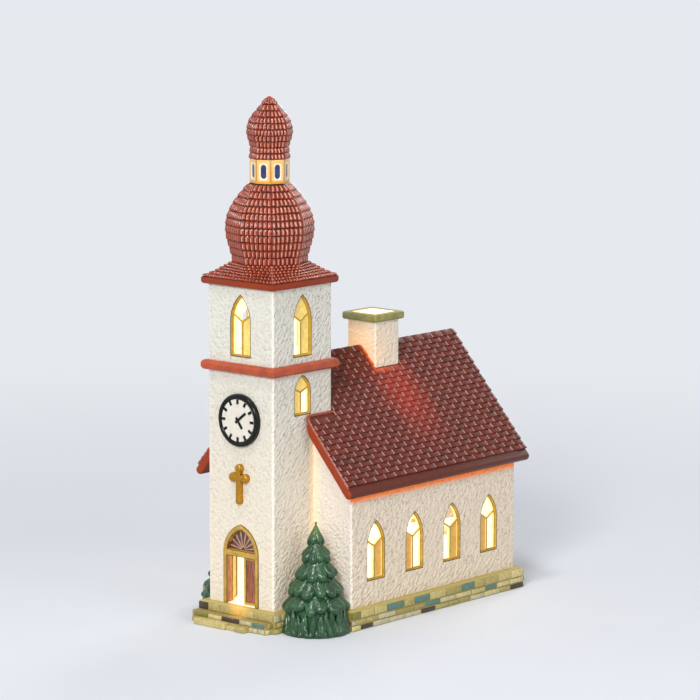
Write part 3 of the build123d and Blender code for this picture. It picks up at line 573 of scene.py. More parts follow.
# Brushed russet: slanting strokes show as lighter streaks in the glossy brown.
door_russet, shader, place, add = new_material("russet_door_glaze_brushed")
brush_width = 0.9 * MM
slanted = add("Mapping", {"Vector": place, "Rotation": (0, radians(40), 0), "Scale": (1, 1, 0.18)})
strokes = add("TexNoise", {"Vector": slanted, "Scale": 1 / brush_width, "Detail": 2.0})
thin = add("MapRange", {"Value": strokes, "From Min": 0.38, "From Max": 0.66})
russet = add("Mix", {0: thin, 6: "#7d3a1e", 7: "#b0633c"}, data_type="RGBA")
relief = add("Bump", {"Height": strokes, "Strength": 0.5, "Distance": 0.15 * MM})
set_inputs(shader, {"Base Color": russet, "Roughness": 0.35, "IOR": 1.5, "Coat Weight": 0.3,
                    "Normal": relief})
door_paints = [ochre_lustre, ochre_line_and_shade, door_russet]
panel_paint = 2
door_low, door_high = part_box("door_frame")
# The bevelled edges of the frame and leaves take that dark line, partly painted shade.
door_frame = softened("door_frame", 0.3 * MM, door_paints, line_paint)
for face in door_frame.data.polygons:
    if face.normal.x > square_on and face.center.x < (door_low.x + door_high.x) / 2:
        face.material_index = panel_paint
leaf_panel_depth = 0.25 * MM
leaf_swing = radians(117)
leaf_edge = 0.18 * MM
right_leaf = softened("door_leaf_right", leaf_edge, door_paints, line_paint)
left_leaf = softened("door_leaf_left", leaf_edge, door_paints, line_paint)
shut_front = Vector((0, -1, 0))
swung_front = Vector((-sin(leaf_swing), cos(leaf_swing), 0))
for leaf, outward in ((right_leaf, shut_front), (left_leaf, swung_front)):
    front = max(corner.co.dot(outward) for corner in leaf.data.vertices)
    for face in leaf.data.polygons:
        if face.normal.dot(outward) > square_on and front - face.center.dot(outward) > leaf_panel_depth:
            face.material_index = panel_paint


def surface_of(node_name):
    """Search tree of a CAD node's surface."""
    mesh = frame["nodes"][node_name].data
    return BVHTree.FromPolygons([corner.co for corner in mesh.vertices],
                                [face.vertices for face in mesh.polygons])


# Umber glaze: dark brown and glossy, so that the rays stand out pale against it.
fanlight_glaze = glaze("umber_fanlight_glaze_brushed", ("#54302a", "#6b3d33"), 2 * MM, 0.3, 0.4)
dress(["door_fanlight"], fanlight_glaze)
# Ray paint: drawn thin with a liner, so that the brown shows through its tan.
ray_glaze = glaze("pale_ray_glaze_lined", ("#cfae90", "#b08062"), 1.5 * MM, 0.4, 0.3)
fan_low, fan_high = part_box("door_fanlight")
fan_surface = surface_of("door_fanlight")
fan_middle = Vector(((fan_low.x + fan_high.x) / 2, (fan_low.y + fan_high.y) / 2, fan_low.z + 0.1 * MM))
fan_front = Vector((fan_middle.x, fan_low.y, fan_middle.z))
ray_count = 8
ray_root = 1.2 * MM
ray_short = 0.3 * MM
ray_sunk = 0.1 * MM
ray_thickness = 0.4 * MM
ray_half_widths = (0.35 * MM / 2, 0.7 * MM / 2)
ray_block = rounded_block((0.6 * MM, 6 * MM, ray_thickness), 0.12 * MM, 2)
rays = ([], [])
for ray in range(ray_count):
    heading = radians(180 * (ray + 0.5) / ray_count)
    way = Vector((cos(heading), 0, sin(heading)))
    reach = (fan_surface.ray_cast(fan_middle, way)[0] - fan_middle).length - ray_short
    side = Vector((sin(heading), 0, -cos(heading)))
    root = fan_front + way * ray_root
    tip = fan_front + way * reach
    patch = [root - side * ray_half_widths[0], root + side * ray_half_widths[0],
             tip + side * ray_half_widths[1], tip - side * ray_half_widths[1]]
    lay_block(rays, ray_block, patch, [-ray_sunk] * 4, ray_thickness)
new_piece("fanlight_rays", rays, [ray_glaze])

# Clock: a raised ring, dial, hour marks and hands, all in relief on the tower's front.
# Black enamel over the porcelain, flowing and glossy on the ring, with the dial left white.

# Enamel: deep black, with sharp but weak reflections.
clock_enamel = glaze("black_enamel_fired", ("#060a08", "#0d1311"), 4 * MM, 0.14, 0.0, specular=0.25)
dress(["clock_ring", "clock_hour_marks", "clock_hands"], clock_enamel)
# Dial glaze: warm white with a soft gloss, a little uneven.
dial_glaze = glaze("white_dial_glaze_fired", ("#e4ddd0", "#d9d2c3"), 3 * MM, 0.3, 0.2)
dress(["clock_dial"], dial_glaze)

# Cross: a gilt relief cross with knobbed arms, moulded on the tower's front.
# Bright gold paint on porcelain, burnished on the rounded edges.

# Gold lustre: brush marks change it from bright gold to a duller brown.
gilt, shader, place, add = new_material("gold_lustre_burnished")
brush_mark = 0.8 * MM
marks = add("TexNoise", {"Vector": place, "Scale": 1 / brush_mark, "Detail": 3.0})
gold = add("Mix", {0: marks, 6: "#dca638", 7: "#855514"}, data_type="RGBA")
dull = add("MapRange", {"Value": marks, "To Min": 0.22, "To Max": 0.5})
relief = add("Bump", {"Height": marks, "Strength": 0.4, "Distance": 0.15 * MM})
set_inputs(shader, {"Base Color": gold, "Metallic": 0.85, "Roughness": dull, "Normal": relief})
cross_low, cross_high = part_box("cross")
cross_half_span = (cross_high.x - cross_low.x) / 2
arm_level = 0.66
cross_middle = cross_low.z + (cross_high.z - cross_low.z) * arm_level
arm_half = 1.4 * MM
knob_steps = 10
cross_sink = 0.2 * MM
cross_rounding = 0.9 * MM
cross_insets = ((0.18 * MM, 0.42 * MM), (0.30 * MM, 0.32 * MM), (0.40 * MM, 0.14 * MM))
arms = [(cross_half_span, 2.15 * MM), (cross_high.z - cross_middle, 2.0 * MM),
        (cross_half_span, 2.15 * MM), (cross_middle - cross_low.z, 1.6 * MM)]
outline = []
for turn, (reach, knob_round) in enumerate(arms):
    heading = turn * pi / 2
    knob_open = asin(arm_half / knob_round)
    arm = [(arm_half, -arm_half)]
    for step in range(knob_steps + 1):
        swing = -pi + knob_open + (2 * pi - 2 * knob_open) * step / knob_steps
        arm.append((reach - knob_round + knob_round * cos(swing), knob_round * sin(swing)))
    for along, out in arm:
        outline.append((along * cos(heading) - out * sin(heading),
                        along * sin(heading) + out * cos(heading)))
solid = bmesh.new()
rim = [solid.verts.new((x, cross_high.y + cross_sink, cross_middle + z)) for x, z in outline]
solid.faces.new(rim)
front_rim = [solid.verts.new((x, cross_low.y + cross_rounding, cross_middle + z)) for x, z in outline]
front_face = solid.faces.new(front_rim)
for corner in range(len(rim)):
    following = (corner + 1) % len(rim)
    solid.faces.new((rim[corner], rim[following], front_rim[following], front_rim[corner]))
bmesh.ops.recalc_face_normals(solid, faces=solid.faces)
for inset, rise in cross_insets:
    bmesh.ops.inset_region(solid, faces=[front_face], thickness=inset, depth=rise, use_even_offset=True)
mesh = bpy.data.meshes.new("gilt_cross")
solid.to_mesh(mesh)
solid.free()
gilt_cross = set_piece("gilt_cross", mesh, [gilt], smooth_to=60)
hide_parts("cross")

# Band: a half-round string course round the tower, at the height of the ridge.
# Terracotta glaze, brushed on in one round, so orange where it is thin and browner where it is thick.
band_glaze = glaze("terracotta_band_glaze_brushed", ("#be4a1a", "#983a14"), 5 * MM, 0.26, 0.2)
dress(["tower_band"], band_glaze)

# Nave roof: a steep saddle roof with flat tiles moulded in half bond, course upon course.
# Dark russet glaze, with a painted pale pink highlight on each tile's raised end, and pooled brown in the
# joints.
def tile_glaze(name, tones, patch_size, roughness, coat):
    """Russet tile glaze: a tone for each tile, in patches where the glaze runs thick, under a gloss."""
    material, shader, place, add = new_material(name)
    island = add("NewGeometry", {})
    spots = add("TexNoise", {"Vector": place, "Scale": 1 / patch_size, "Detail": 4.0})
    mixed = add("Math", {0: island.outputs["Random Per Island"], 1: 0.2, 2: spots},
                operation="MULTIPLY_ADD")
    depth = add("MapRange", {"Value": mixed, "From Min": 0.2, "From Max": 1.0})
    paint = add("Mix", {0: depth, 6: tones[0], 7: tones[1]}, data_type="RGBA")
    relief = add("Bump", {"Height": spots, "Strength": 0.3, "Distance": 0.15 * MM})
    set_inputs(shader, {"Base Color": paint, "Roughness": roughness, "IOR": 1.5, "Coat Weight": coat,
                        "Coat Roughness": 0.1, "Normal": relief})
    return material


chimney_low, chimney_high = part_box("chimney_stack")
roof_pitch = radians(49.4)
roof_half = 48.5 * MM
tile_width = 7.1 * MM
tile_exposure = 2.77 * MM
tile_overlap = 0.55 * MM
tile_gap = 0.25 * MM
tile_thickness = 0.95 * MM
tile_sunk = 0.45 * MM
tile_end_lift = 0.45 * MM
least_tile = 1.0 * MM
eave_strip = 4.6 * MM
verge_round = 3.2 * MM
bead_round = 0.8 * MM
joint_room = 0.15 * MM

# Thick roof glaze: dark russet with hardly any gloss. It is redder on the slope that the lamp warms, and
# orange light leaks through at the foot of the stack.
roof_tiles = tile_glaze("russet_roof_glaze_thick", ("#451c12", "#792a1a"), 5 * MM, 0.42, 0.0)
shader, place, add = work_on(roof_tiles)
glow_middle = Vector((19 * MM, chimney_low.y + 8 * MM, 0))
glow_radius = 19 * MM
glow_light = 0.06
foot_reach = 3.0 * MM
foot_light = 0.35
from_glow = add("VectorMath", {0: place, 1: glow_middle}, operation="SUBTRACT")
glow_share = add("VectorMath", {0: from_glow, 1: (1 / glow_radius, 1 / glow_radius, 0)},
                 operation="MULTIPLY")
glow_reach = add("VectorMath", {0: glow_share}, operation="LENGTH")
glow = add("MapRange", {"Value": glow_reach, "From Min": 0.1, "From Max": 1.15,
                        "To Min": 0.6, "To Max": 0.0}, interpolation_type="SMOOTHSTEP")
glowing = add("Mix", {0: glow, 6: paint_of(shader), 7: "#a8301c"}, data_type="RGBA")
from_stack = add("VectorMath", {0: place, 1: (chimney_low + chimney_high) / 2}, operation="SUBTRACT")
off_stack = add("VectorMath", {0: from_stack}, operation="ABSOLUTE")
stack_sides = add("SeparateXYZ", {0: off_stack})
stack_gap = add("Math", {0: stack_sides.outputs["X"], 1: stack_sides.outputs["Y"]}, operation="MAXIMUM")
near_stack = add("MapRange", {"Value": stack_gap, "From Min": chimney_high.x,
                              "From Max": chimney_high.x + foot_reach, "To Min": 1.0, "To Max": 0.0})
axes = add("SeparateXYZ", {0: place})
frontward = add("MapRange", {"Value": axes.outputs["Y"], "From Min": chimney_high.y,
                             "From Max": chimney_low.y})
stack_foot = add("Math", {0: near_stack, 1: frontward}, operation="MULTIPLY")
footed = add("Mix", {0: stack_foot, 6: glowing, 7: "#f06a20"}, data_type="RGBA")
leak_tint = add("Mix", {0: stack_foot, 6: "#f03a16", 7: "#ff7a2c"}, data_type="RGBA")
slope_shine = add("Math", {0: glow, 1: glow_light}, operation="MULTIPLY")
shine = add("Math", {0: stack_foot, 1: foot_light, 2: slope_shine}, operation="MULTIPLY_ADD")
set_inputs(shader, {"Base Color": footed, "Emission Color": leak_tint, "Emission Strength": shine,
                    "Specular IOR Level": 0.2})

# Painted highlight: pale pink on the tiles' raised ends, where the light catches them.
roof_end_highlight = tile_glaze("russet_roof_painted_highlight", ("#86503f", "#cc9c90"), 1.2 * MM, 0.35, 0.0)

# Pooled roof glaze on the slab under the tiles: smooth, dark brown on the slopes, orange-red on the verge.
roof_slab, shader, place, add = new_material("russet_roof_glaze_pooled")
run_width = 3 * MM
face_side = add("NewGeometry", {})
facing = add("SeparateXYZ", {0: face_side.outputs["Normal"]})
on_verge = add("MapRange", {"Value": facing.outputs["Y"], "From Min": -0.25, "From Max": -0.6})
runs = add("TexNoise", {"Vector": place, "Scale": 1 / run_width, "Detail": 3.0})
verge_paint = add("Mix", {0: runs, 6: "#a83e1c", 7: "#8a341a"}, data_type="RGBA")
slope_paint = add("Mix", {0: runs, 6: "#6c362a", 7: "#54281e"}, data_type="RGBA")
paint = add("Mix", {0: on_verge, 6: slope_paint, 7: verge_paint}, data_type="RGBA")
relief = add("Bump", {"Height": runs, "Strength": 0.3, "Distance": 0.2 * MM})
set_inputs(shader, {"Base Color": paint, "Roughness": 0.4, "Specular IOR Level": 0.2, "Normal": relief})
softened("nave_roof", 0.7 * MM, [roof_slab])

tile_block = rounded_block((tile_width, tile_exposure + tile_overlap, tile_thickness), 0.28 * MM, 3)
end_share = 0.045
upper_share = 0.3
raised_end = set()
for number, face in enumerate(tile_block[1]):
    middle = [sum(tile_block[0][corner][axis] for corner in face) / len(face) for axis in range(3)]
    if middle[0] < end_share and min(middle[1:]) > upper_share:
        raised_end.add(number)
tiles = ([], [])
bond_shares = (0.25, 0.75)
slope_length = roof_half / cos(roof_pitch)
course_count = int((slope_length - eave_strip) / tile_exposure) + 1
ridge = Vector((0, 0, roof_high.z))
for side in (1, -1):
    down = Vector((side * cos(roof_pitch), 0, -sin(roof_pitch)))
    along = Vector((0, side, 0))
    for course in range(course_count):
        low_edge = slope_length - eave_strip - course * tile_exposure
        high_edge = max(low_edge - tile_exposure - tile_overlap, 0)
        nearest = max(low_edge - tile_exposure, 0) * cos(roof_pitch)
        front = roof_low.y
        if nearest < tower_half + bead_round:
            front = tower_high.y + joint_room
        elif nearest < tower_half + verge_round:
            cut = tower_half + verge_round - nearest
            front += verge_round - sqrt(verge_round ** 2 - cut ** 2)
        spans = [[front, roof_high.y]]
        if nearest < chimney_high.x:
            spans = [[front, chimney_low.y - joint_room], [chimney_high.y + joint_room, roof_high.y]]
        for start, end in spans:
            tile_start = roof_low.y - tile_width * bond_shares[course % 2]
            while tile_start < end:
                left = max(tile_start + random.uniform(-0.15, 0.15) * MM, start)
                right = min(tile_start + tile_width - tile_gap, end)
                if right - left > least_tile and low_edge > least_tile:
                    ends = (left, right) if side > 0 else (-right, -left)
                    skew = random.uniform(-0.10, 0.10) * MM
                    patch = [ridge + down * (low_edge + skew) + along * ends[0],
                             ridge + down * (low_edge - skew) + along * ends[1],
                             ridge + down * high_edge + along * ends[1],
                             ridge + down * high_edge + along * ends[0]]
                    raised = random.uniform(0.12, 0.26) * MM
                    low_lift = tile_end_lift - tile_sunk
                    lifts = [low_lift + raised, low_lift, -tile_sunk, raised - tile_sunk]
                    lay_block(tiles, tile_block, patch, lifts, tile_thickness)
                tile_start += tile_width
nave_tiles = new_piece("nave_roof_tiles", tiles, [roof_tiles, roof_end_highlight])
highlight_slot = 1
# Painted highlight on each tile's raised end.
for number, face in enumerate(nave_tiles.data.polygons):
    if number % len(tile_block[1]) in raised_end:
        face.material_index = highlight_slot

# Verge beads: a round bead moulded along each half of the roof's front edge and back beside the tower.
# The glaze ran off the slope onto it, so it is a glossy line of orange brown.
def join_rings(shape, first, ring_count, ring_size):
    """Add the faces of a tube to a shape: rings of points, from a first one on, joined all round."""
    for ring in range(ring_count - 1):
        start = first + ring * ring_size
        for step in range(ring_size):
            following = (step + 1) % ring_size
            shape[1].append([start + step, start + ring_size + step, start + ring_size + following,
                             start + following])


bead_glaze = glaze("orange_verge_glaze_run", ("#a84020", "#8a341c"), 3 * MM, 0.28, 0.2)
bead_steps = 8
bend_steps = 6
bead_inset = 0.45 * MM
bead_foot = roof_half - 2.6 * MM
bend_at = tower_half + verge_round
bend_round = verge_round - bead_inset
roof_slope = sin(roof_pitch) / cos(roof_pitch)
beads = ([], [])
for side in (1, -1):
    bead_path = []
    for share in (0.0, 0.5, 1.0):
        bead_path.append((bead_foot + (bend_at - bead_foot) * share, roof_low.y + bead_inset))
    for step in range(1, bend_steps):
        swing = radians(90 * step / bend_steps)
        bead_path.append((bend_at - bend_round * sin(swing),
                          roof_low.y + verge_round - bend_round * cos(swing)))
    for share in (0.0, 0.5, 1.0):
        bead_path.append((tower_half + bead_inset,
                          roof_low.y + verge_round + (tower_high.y - roof_low.y - verge_round) * share))
    bead_line = [Vector((side * reach, along, roof_high.z - reach * roof_slope))
                 for reach, along in bead_path]
    first = len(beads[0])
    for number, point in enumerate(bead_line):
        way = bead_line[min(number + 1, len(bead_line) - 1)] - bead_line[max(number - 1, 0)]
        up = Vector((side * sin(roof_pitch), 0, cos(roof_pitch)))
        across = way.cross(up).normalized()
        for step in range(bead_steps):
            swing = 2 * pi * step / bead_steps
            beads[0].append(point + (across * cos(swing) + up * sin(swing)) * bead_round)
    join_rings(beads, first, len(bead_line), bead_steps)
    last = first + (len(bead_line) - 1) * bead_steps
    beads[1].append([first + step for step in range(bead_steps)])
    beads[1].append([last + step for step in reversed(range(bead_steps))])
new_piece("verge_beads", beads, [bead_glaze])

# Chimney: a square stack of the same stippled porcelain astride the ridge, open to the lit room below.
# Its cap is a rounded square frame in relief, painted olive green with a painted highlight on its edges;
# the stack glows where it is thin.
flue_half = 7.1 * MM
stack_half = chimney_high.x
flue_edge = stack_half - flue_half - room_skin
flue_inset = Vector((flue_edge, flue_edge, -1 * MM))
warm_spot = Vector((-5 * MM, chimney_low.y, roof_high.z - 2 * MM))
warm_light = 0.26
stack_stucco = stippled_bisque("porcelain_bisque_stippled_chimney", "#e2d7c8", "#ddceb9", 0.7 * MM)
shader, place, add = work_on(stack_stucco)
# Painted highlight down the stack's corners.
edges = corner_mask(add, place, stack_half, chimney_low.y, 0.2 * MM, 1.0 * MM)
from_spot = add("VectorMath", {0: place, 1: warm_spot}, operation="DISTANCE")
warmth = add("MapRange", {"Value": from_spot, "From Min": 2 * MM, "From Max": 22 * MM,
                          "To Min": 0.9, "To Max": 0.0}, interpolation_type="SMOOTHSTEP")
edged = add("Mix", {0: edges, 6: paint_of(shader), 7: painted_edge_highlight}, data_type="RGBA")
tinted = add("Mix", {0: warmth, 6: edged, 7: "#f5c48a"}, data_type="RGBA")
skin_shine = add("Math", {0: warmth, 1: warm_light, 2: skin_glow}, operation="MULTIPLY_ADD")
inside = room_mask(add, place, chimney_low + flue_inset, chimney_high - flue_inset)
light_up(shader, add, tinted, inside, skin_light, skin_shine)
dress(["chimney_stack"], stack_stucco)

# Cap glaze: a flat olive green with a soft gloss.
cap_green = glaze("olive_cap_glaze_brushed", ("#96924c", "#7a763e"), 3 * MM, 0.32, 0.2)
# Painted highlight: a line of yellow ochre on the cap's edges, where the light catches them.
cap_rim_highlight = glaze("ochre_rim_painted_highlight", ("#c4b44a", "#b08f34"), 2 * MM, 0.32, 0.3)
cap_low, cap_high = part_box("chimney_cap")
cap_half = (cap_high.x - cap_low.x) / 2
cap_axis = (chimney_low.y + chimney_high.y) / 2
cap_round = 0.8 * MM
cap_corner_steps = 4
green, rim, lit = range(3)
cap_profile = [(cap_half - 0.6 * MM, cap_low.z, green), (cap_half - 0.1 * MM, cap_low.z + 0.4 * MM, green),
               (cap_half, cap_low.z + 1.0 * MM, green), (cap_half, cap_high.z - 0.8 * MM, green),
               (cap_half - 0.25 * MM, cap_high.z - 0.2 * MM, rim), (cap_half - 0.8 * MM, cap_high.z, green),
               (flue_half + 0.8 * MM, cap_high.z, rim),
               (flue_half + 0.15 * MM, cap_high.z - 0.25 * MM, lit),
               (flue_half, cap_high.z - 0.8 * MM, lit), (flue_half, cap_low.z, green)]
ring_size = 4 * (cap_corner_steps + 1)
cap = ([], [])
cap_paints = []
for reach, level, paint in cap_profile:
    cap_paints += [paint] * ring_size
    for quarter in range(4):
        diagonal = quarter * pi / 2 + pi / 4
        middle = Vector((cos(diagonal), sin(diagonal), 0)) * sqrt(2)
        for step in range(cap_corner_steps + 1):
            swing = (quarter + step / cap_corner_steps) * pi / 2
            point = middle * (reach - cap_round) + Vector((cos(swing), sin(swing), 0)) * cap_round
            cap[0].append(point + Vector((0, cap_axis, level)))
for station in range(len(cap_profile)):
    next_station = (station + 1) % len(cap_profile)
    for step in range(ring_size):
        following = (step + 1) % ring_size
        cap[1].append([station * ring_size + step, station * ring_size + following,
                       next_station * ring_size + following, next_station * ring_size + step])
cap_frame = new_piece("chimney_cap_frame", cap, [cap_green, cap_rim_highlight, lit_slip])
cap_frame.data.polygons.foreach_set("material_index", cap_paints)
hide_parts("chimney_cap")

# Skirt roof, onion dome and top onion: eight-sided shells with rows of small barrel tiles moulded on them.
# Terracotta glaze, with a painted pale highlight on the tiles' crowns, and dark joints.
facets = 8
tower_axis = Vector((0, (tower_low.y + tower_high.y) / 2, 0))


def pillow(columns, stations, crown):
    """A unit block crowned from side to side; each station gives its place up, its width and its height."""
    points = []
    for up, width, height in stations:
        for column in range(columns + 1):
            swing = pi * column / columns
            points.append((0.5 - 0.5 * width * cos(swing), up, height * max(sin(swing), 0.0) ** crown))
    faces = []
    row_size = columns + 1
    last = len(stations) - 1
    for row in range(last):
        for column in range(columns):
            corner = row * row_size + column
            faces.append([corner, corner + 1, corner + row_size + 1, corner + row_size])
    rim = list(range(row_size))
    rim += [row * row_size + columns for row in range(1, len(stations))]
    rim += [last * row_size + column for column in range(columns - 1, -1, -1)]
    rim += [row * row_size for row in range(last - 1, 0, -1)]
    faces.append(rim[::-1])
    return points, faces


barrel_stations = [(0.03, 0.86, 0.0), (0.04, 0.86, 0.55), (0.12, 0.9, 0.92), (0.35, 0.92, 1.0),
                   (0.78, 0.9, 0.8), (0.92, 0.86, 0.5), (0.93, 0.86, 0.0)]
barrel_columns = 6
barrel_tile = pillow(barrel_columns, barrel_stations, 1.0)
crown_faces = [row * barrel_columns + 2 for row in (2, 3)]
barrel_thickness = 0.8 * MM


def ring_on(surface, level):
    """Eight corner points of the surface round the tower's axis at a level."""
    far = 80 * MM
    corners = []
    for turn in range(facets):
        out = Vector((cos(turn * 2 * pi / facets), sin(turn * 2 * pi / facets), 0))
        corners.append(surface.ray_cast(tower_axis + out * far + Vector((0, 0, level)), -out)[0])
    return corners


def tile_rings(shape, surface, levels, tile_size, thickness, staggered):
    """Rows of tiles between neighbouring levels of an eight-sided surface, each row over the one below."""
    for row in range(len(levels) - 1):
        low_ring = ring_on(surface, levels[row])
        high_ring = ring_on(surface, levels[row + 1])
        for turn in range(facets):
            following = (turn + 1) % facets
            low_way = low_ring[following] - low_ring[turn]
            high_way = high_ring[following] - high_ring[turn]
            count = max(2, round((low_way.length + high_way.length) / 2 / tile_size))
            shift = 0.5 / count if staggered and row % 2 else 0.0
            edges = [0.0] + [tile / count + shift for tile in range(0 if shift else 1, count)] + [1.0]
            for start, end in zip(edges[:-1], edges[1:]):
                skew = (high_ring[turn] - low_ring[turn]) * random.uniform(-0.05, 0.05)
                patch = [low_ring[turn] + low_way * start + skew, low_ring[turn] + low_way * end + skew,
                         high_ring[turn] + high_way * end, high_ring[turn] + high_way * start]
                lift = thickness * random.uniform(0.15, 0.35)
                sunk = -0.2 * thickness
                lay_block(shape, barrel_tile, patch, (lift + sunk, lift + sunk, sunk, sunk), thickness)


# Dome glaze: glossy terracotta, another tone on every tile.
dome_tiles = tile_glaze("terracotta_dome_glaze_toned", ("#742610", "#a84424"), 2 * MM, 0.18, 0.25)
# Painted highlight on the crowns: salmon pink, in the glossiest glaze.
crown_highlight = tile_glaze("terracotta_dome_painted_highlight", ("#ae563c", "#efaa90"), 1.2 * MM, 0.14, 0.4)
# Pooled dome glaze in the joints: almost black and dull, but terracotta again on the bare tip.
dome_joints = glaze("terracotta_dome_glaze_pooled", ("#2c120c", "#3c1a12"), 3 * MM, 0.4, 0.0, specular=0.15)
shader, place, add = work_on(dome_joints)
top_low, top_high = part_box("top_onion")
tip_reach = 2.4 * MM
axes = add("SeparateXYZ", {0: place})
on_tip = add("MapRange", {"Value": axes.outputs["Z"], "From Min": top_high.z - tip_reach,
                          "From Max": top_high.z - 0.5 * tip_reach})
tipped = add("Mix", {0: on_tip, 6: paint_of(shader), 7: "#a8482c"}, data_type="RGBA")
set_inputs(shader, {"Base Color": tipped})
dress(["onion_dome", "top_onion"], dome_joints)


def crowned_piece(name, shape):
    """A piece of barrel tiles, every one with a painted highlight, the second and paler glaze, on its
    crown.
    """
    piece = new_piece(name, shape, [dome_tiles, crown_highlight])
    for number, face in enumerate(piece.data.polygons):
        if number % len(barrel_tile[1]) in crown_faces:
            face.material_index = highlight_slot


# Run skirt glaze: dark under the tiles, with a glossy lip of orange brown where it ran down to the eave.
skirt_glaze, shader, place, add = new_material("terracotta_skirt_glaze_run")
skirt_low, skirt_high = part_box("skirt_roof")
skirt_eave = skirt_low.z + 3.0 * MM
lip_fade = 0.2 * MM
run_width = 4 * MM
axes = add("SeparateXYZ", {0: place})
on_lip = add("MapRange", {"Value": axes.outputs["Z"], "From Min": skirt_eave + lip_fade,
                          "From Max": skirt_eave - lip_fade})
runs = add("TexNoise", {"Vector": place, "Scale": 1 / run_width, "Detail": 3.0})
lip_paint = add("Mix", {0: runs, 6: "#9c3a1a", 7: "#803014"}, data_type="RGBA")
paint = add("Mix", {0: on_lip, 6: "#3c1a12", 7: lip_paint}, data_type="RGBA")
relief = add("Bump", {"Height": runs, "Strength": 0.3, "Distance": 0.2 * MM})
set_inputs(shader, {"Base Color": paint, "Roughness": 0.3, "Specular IOR Level": 0.2, "Normal": relief})
softened("skirt_roof", 0.8 * MM, [skirt_glaze])

skirt_rows = 6
skirt_start = 0.25
skirt_spare = 0.3
skirt_row_height = (skirt_high.z - skirt_eave) / (skirt_rows + skirt_spare)
skirt_levels = [skirt_eave + skirt_row_height * (row + skirt_start) for row in range(skirt_rows + 1)]
skirt_surface = surface_of("skirt_roof")
skirt = ([], [])
tile_rings(skirt, skirt_surface, skirt_levels, 2.1 * MM, barrel_thickness, True)
hip_half = 0.8 * MM
hip_lifts = (0.05 * MM, 0.05 * MM, -0.1 * MM, -0.1 * MM)
hip_thickness = 0.9 * MM
for low_level, high_level in zip(skirt_levels[:-1], skirt_levels[1:]):
    low_ring = ring_on(skirt_surface, low_level)
    high_ring = ring_on(skirt_surface, high_level)
    for turn in (1, 3, 5, 7):
        heading = turn * 2 * pi / facets
        side = Vector((-sin(heading), cos(heading), 0)) * hip_half
        patch = [low_ring[turn] - side, low_ring[turn] + side,
                 high_ring[turn] + side, high_ring[turn] - side]
        lay_block(skirt, barrel_tile, patch, hip_lifts, hip_thickness)
crowned_piece("skirt_tiles", skirt)

dome_low, dome_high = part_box("onion_dome")
dome_rows = 11
dome_foot = dome_low.z + 0.1 * MM
dome_height = dome_high.z - dome_low.z
dome_tiled = 0.985
taller_low_rows = 0.10
dome_levels = []
for row in range(dome_rows + 1):
    share = row / dome_rows
    dome_levels.append(dome_foot + dome_height * share * (dome_tiled + taller_low_rows * (1 - share)))
dome = ([], [])
tile_rings(dome, surface_of("onion_dome"), dome_levels, 2.05 * MM, barrel_thickness, False)
crowned_piece("onion_dome_tiles", dome)

top_rows = 10
top_foot = top_low.z + 0.1 * MM
top_tiled = 0.97 * (top_high.z - top_low.z)
top_levels = [top_foot + top_tiled * row / top_rows for row in range(top_rows + 1)]
top_surface = surface_of("top_onion")
top = ([], [])
tile_rings(top, top_surface, top_levels, 1.7 * MM, 0.7 * MM, False)
tip_ring = ring_on(top_surface, top_levels[-1] - 0.4 * MM)
tip = Vector((tower_axis.x, tower_axis.y, top_high.z - 0.15 * MM))
tip_lifts = (0.05 * MM, 0.05 * MM, -0.25 * MM, -0.25 * MM)
tip_thickness = 0.35 * MM
for turn in range(facets):
    patch = [tip_ring[turn], tip_ring[(turn + 1) % facets], tip, tip]
    lay_block(top, barrel_tile, patch, tip_lifts, tip_thickness)
crowned_piece("top_onion_tiles", top)

# Lantern: the eight-sided drum between the two onions, with a sunk slot on every side.
# Cream-yellow glaze, brown in the upright edges and pale round the slots, which are deep blue.

# Lined glaze: a soft yellow gloss, drawn round with a liner, so every side of the drum reads as a panel.
lantern_glaze, shader, place, add = new_material("cream_yellow_glaze_lined")
lantern_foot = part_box("lantern")[0].z
slots_low, slots_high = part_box("lantern_windows")
slot_middle = (slots_low.z + slots_high.z) / 2
slot_half = (slots_high.z - slots_low.z) / 2
line_reach = 1.0 * MM
foot_line = 1.5 * MM
brush_patch = 3 * MM
centred = add("VectorMath", {0: place, 1: tower_axis}, operation="SUBTRACT")
axes = add("SeparateXYZ", {0: centred})
heading = add("Math", {0: axes.outputs["Y"], 1: axes.outputs["X"]}, operation="ARCTAN2")
from_edge = add("Math", {0: heading, 1: pi / facets}, operation="PINGPONG")
beside_slot = add("MapRange", {"Value": from_edge, "From Min": radians(7.0), "From Max": radians(13.0)})
off_middle = add("Math", {0: axes.outputs["Z"], 1: slot_middle}, operation="SUBTRACT")
off_level = add("Math", {0: off_middle}, operation="ABSOLUTE")
by_slot = add("MapRange", {"Value": off_level, "From Min": slot_half + line_reach, "From Max": slot_half})
round_slot = add("Math", {0: beside_slot, 1: by_slot}, operation="MULTIPLY")
at_edge = add("MapRange", {"Value": from_edge, "From Min": radians(4.0), "From Max": radians(2.0),
                           "To Max": 0.8})
at_foot = add("MapRange", {"Value": axes.outputs["Z"], "From Min": lantern_foot + foot_line,
                           "From Max": lantern_foot + 0.6 * foot_line, "To Max": 0.8})
brushed = add("TexNoise", {"Vector": place, "Scale": 1 / brush_patch, "Detail": 4.0})
yellow = add("Mix", {0: brushed, 6: "#f4cf80", 7: "#e8ae52"}, data_type="RGBA")
outlined = add("Mix", {0: round_slot, 6: yellow, 7: "#fbead0"}, data_type="RGBA")
edged = add("Mix", {0: at_edge, 6: outlined, 7: "#b87428"}, data_type="RGBA")
footed = add("Mix", {0: at_foot, 6: edged, 7: "#e09a34"}, data_type="RGBA")
relief = add("Bump", {"Height": brushed, "Strength": 0.35, "Distance": 0.15 * MM})
set_inputs(shader, {"Base Color": footed, "Roughness": 0.3, "IOR": 1.5, "Coat Weight": 0.2,
                    "Normal": relief})
softened("lantern", 0.45 * MM, [lantern_glaze])
